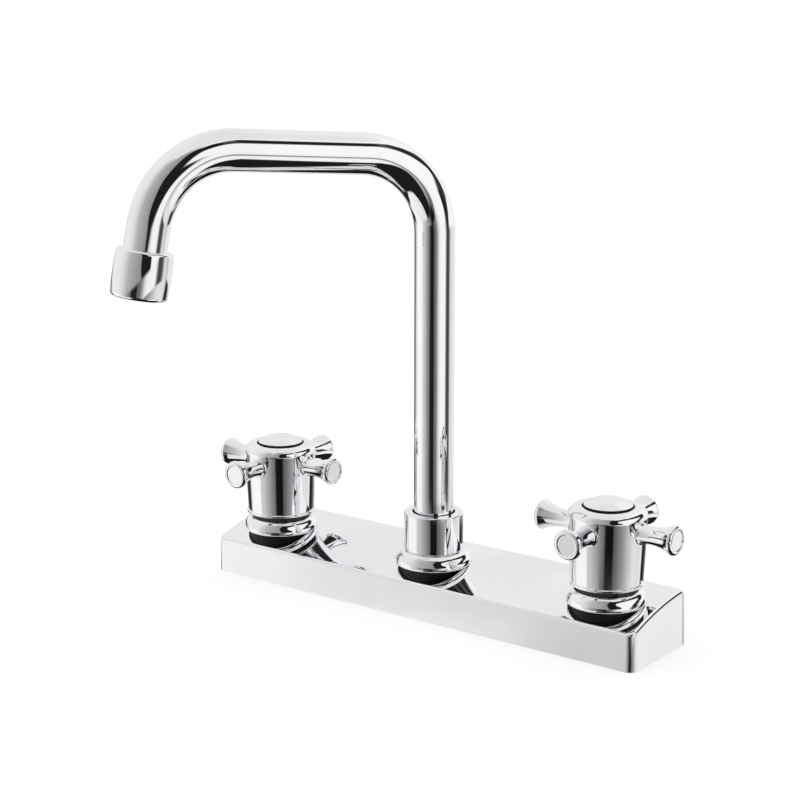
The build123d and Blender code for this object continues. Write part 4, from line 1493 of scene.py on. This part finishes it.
@dataclass
class Studio:
    """Plain pale floor, soft lamps, camera, and a pale surround with dark cards that only gloss sees."""

    camera_place: tuple[float, float, float] = (0.5235, -0.7270, 0.3153)
    camera_bearing: float = 36.85
    camera_pitch: float = 13.0
    focal_length: float = 82.73
    sensor_width: float = 36.0
    floor_half: float = 3.0
    floor_drop: float = 0.0002
    floor_tone: tuple[float, ...] = (0.86, 0.86, 0.86, 1)
    floor_dull: float = 0.9
    glow_reach: tuple[float, float] = (0.25, 0.7)
    glow_share: tuple[float, float] = (0.72, 1.0)
    lamp_target: tuple[float, float, float] = (0.0, 0.0, 0.08)
    overhead: tuple[float, ...] = (0.82, 0.82, 0.82, 1)
    overhead_rise: tuple[float, float] = (54, 62)
    sky: Tones = (
        (-180, 0.86), (-150, 0.86), (-120, 0.87), (-90, 0.84), (-70, 0.74), (-55, 0.58), (-45, 0.47),
        (-30, 0.41), (-15, 0.36), (-2, 0.3), (8, 0.3), (28, 0.98), (60, 1.0), (120, 0.98), (150, 0.94),
        (165, 0.88), (180, 0.86),
    )
    upper_walls: Belt = Belt(-6, -4, (
        (-180, 0.3), (-170, 0.1), (-160, 0.03), (-148, 0.05), (-138, 0.35), (-125, 0.7), (-111, 1.0),
        (-80, 1.0), (-70, 0.72), (-60, 0.6), (-50, 0.45), (-40, 0.27), (-30, 0.18), (-25, 0.02),
        (-6, 0.01), (-2, 0.12), (8, 0.17), (16, 0.38), (24, 0.75), (34, 0.95), (60, 0.98), (66, 0.5),
        (71, 0.08), (82, 0.05), (91, 0.16), (99, 0.7), (120, 0.8), (150, 0.9), (172, 0.8), (180, 0.3),
    ))
    lower_walls: Belt = Belt(-16.7, -16.1, (
        (-180, 0.45), (-166, 0.4), (-156, 0.32), (-148, 0.04), (-125, 0.02), (-119, 0.7), (-110, 0.98),
        (-74, 1.0), (-71.5, 0.92), (-69, 0.8), (-66, 0.62), (-56, 0.57), (-46, 0.46), (-26, 0.25),
        (-16, 0.16), (-11, 0.01), (10, 0.005), (13, 0.09), (25, 0.17), (45, 0.36), (55, 0.5),
        (75, 0.76), (85, 0.82), (105, 0.77), (112, 0.85), (118, 0.9), (122, 0.02), (136, 0.02),
        (146, 0.14), (155, 0.28), (165, 0.38), (180, 0.42),
    ))
    ground: Belt = Belt(-26, -23, (
        (-180, 0.9), (-110, 0.95), (-60, 0.85), (-38, 0.8), (-30, 0.4), (0, 0.2), (8, 0.3), (20, 0.4),
        (33, 0.6), (42, 0.95), (60, 1.0), (180, 1.0),
    ))
    ground_edge: Tones = (
        (-180, -38), (-170, -34), (-163, -28), (-150, -26), (-138, -27), (-125, -38), (-110, -52),
        (-98, -59), (-85, -62), (-60, -62), (-42, -58), (-34, -40), (-30, -24), (-2, -23.5), (5, -26),
        (12, -30), (22, -30), (30, -28), (36, -26), (42, -38), (50, -44), (62, -43), (80, -42),
        (95, -42), (110, -38), (122, -32), (130, -26), (140, -26), (160, -36), (180, -38),
    )
    cards: tuple[Card, ...] = (
        Card((25, -2), (14, 8), 13.5),
        Card((14, 8), (11, 24), 12.5),
        Card((11, 24), (16, 40), 12.5),
        Card((16, 40), (32, 43), 9),
        Card((32, 43), (60, 46), 8, 0.95),
        Card((60, 46), (88, 41), 8, 0.93),
        Card((88, 41), (104, 35), 8.5, 0.93),
        Card((104, 35), (121, 27), 9, 0.93),
        Card((121, 25), (112, 16), 9, 0.9),
        Card((112, 16), (93, 7), 7, 0.93),
        Card((93, 7), (82, 0), 7, 0.93),
        Card((82, 0), (76, -8), 8, 0.94),
    )

    def surround(self) -> None:
        """Wires the world: plain white, and the surround for rays that leave a glossy surface."""
        world = bpy.data.worlds.new("studio_surround")
        bpy.context.scene.world = world
        world.use_nodes = True
        world.node_tree.nodes.clear()
        around = Surround(world.node_tree, math.atan2(self.camera_place[1], self.camera_place[0]))
        light = around.blend(around.rise(*self.overhead_rise), around.bearings(self.sky), self.overhead)
        for card in self.cards:
            light = around.hang(card, light)
        for belt in (self.upper_walls, self.lower_walls, self.ground):
            light = around.blend(around.rise(belt.low, belt.high), around.bearings(belt.tones), light)
        light = around.lift(self.ground_edge, light)
        rays = around.node("LightPath", {}).outputs["Is Glossy Ray"]
        plain, glossy = (
            around.give("Background", {"Color": colour, "Strength": 1.0}) for colour in (WHITE, light)
        )
        around.node("OutputWorld", {0: around.give("MixShader", {0: rays, 1: plain, 2: glossy})})

    def floor(self) -> None:
        """Lays the floor, white to the camera but for the tap's soft shadow."""
        reach = self.floor_half
        mesh = bpy.data.meshes.new("floor")
        rim = [(-reach, -reach, 0), (reach, -reach, 0), (reach, reach, 0), (-reach, reach, 0)]
        mesh.from_pydata(rim, [], [(0, 1, 2, 3)])
        floor = bpy.data.objects.new("floor", mesh)
        bpy.context.scene.collection.objects.link(floor)
        floor.location.z = -self.floor_drop
        bench = Bench("floor_paint")
        paint = {"Metallic": 0.0, "Base Color": self.floor_tone, "Roughness": self.floor_dull}
        bench.plug(bench.shader, paint)
        glow = bench.give("Emission", {"Color": WHITE, "Strength": 1.0})
        rays = bench.node("LightPath", {}).outputs["Is Camera Ray"]
        far = bench.node("VectorMath", {0: bench.place}, operation="LENGTH").outputs["Value"]
        share = bench.number("MULTIPLY", bench.spread(far, self.glow_reach, self.glow_share), rays)
        both = bench.give("MixShader", {0: share, 1: bench.shader.outputs[0], 2: glow})
        bench.plug(bench.tree.nodes["Material Output"], {0: both})
        mesh.materials.append(bench.made)
        floor.visible_glossy = False

    def lamp(self, name: str, place: Sequence[float], size: float, power: float) -> None:
        """Hangs a soft square lamp that faces the tap.

        Args:
            name: Name of the lamp.
            place: Where it hangs.
            size: Edge of its square.
            power: In watts.
        """
        data = bpy.data.lights.new(name, "AREA")
        data.size, data.energy = size, power
        lamp = bpy.data.objects.new(name, data)
        lamp.location = place
        way = Vector(self.lamp_target) - Vector(place)
        lamp.rotation_euler = way.to_track_quat("-Z", "Y").to_euler()
        lamp.visible_glossy = False
        bpy.context.scene.collection.objects.link(lamp)

    def camera(self) -> None:
        """Puts the camera at the photograph's angle."""
        data = bpy.data.cameras.new("camera")
        data.lens, data.sensor_width = self.focal_length, self.sensor_width
        camera = bpy.data.objects.new("camera", data)
        camera.location = self.camera_place
        tilt = math.radians(90 - self.camera_pitch)
        camera.rotation_euler = (tilt, 0, math.radians(self.camera_bearing))
        bpy.context.scene.collection.objects.link(camera)
        bpy.context.scene.camera = camera

    def build(self) -> None:
        """Sets up the whole studio."""
        self.camera()
        self.surround()
        self.floor()
        self.lamp("overhead", (0.1, -0.1, 1.3), size=1.2, power=6)
        self.lamp("left_side", (-1.0, -0.8, 0.8), size=0.9, power=4)
        bpy.context.scene.view_settings.view_transform = "Standard"


def main() -> None:
    """Builds the dressed tap on the frame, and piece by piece."""
    logging.basicConfig(level=logging.INFO, format="%(name)s: %(message)s")
    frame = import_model()
    Studio().build()
    DeckCover().build()
    BaseRing("spout", 0.0).build()
    for side in Side:
        BaseRing(side.word, side.value).build()
        Handle(side).build()
    Spout().build()
    InnerWorks(frame).build()


if __name__ == "__main__":
    main()
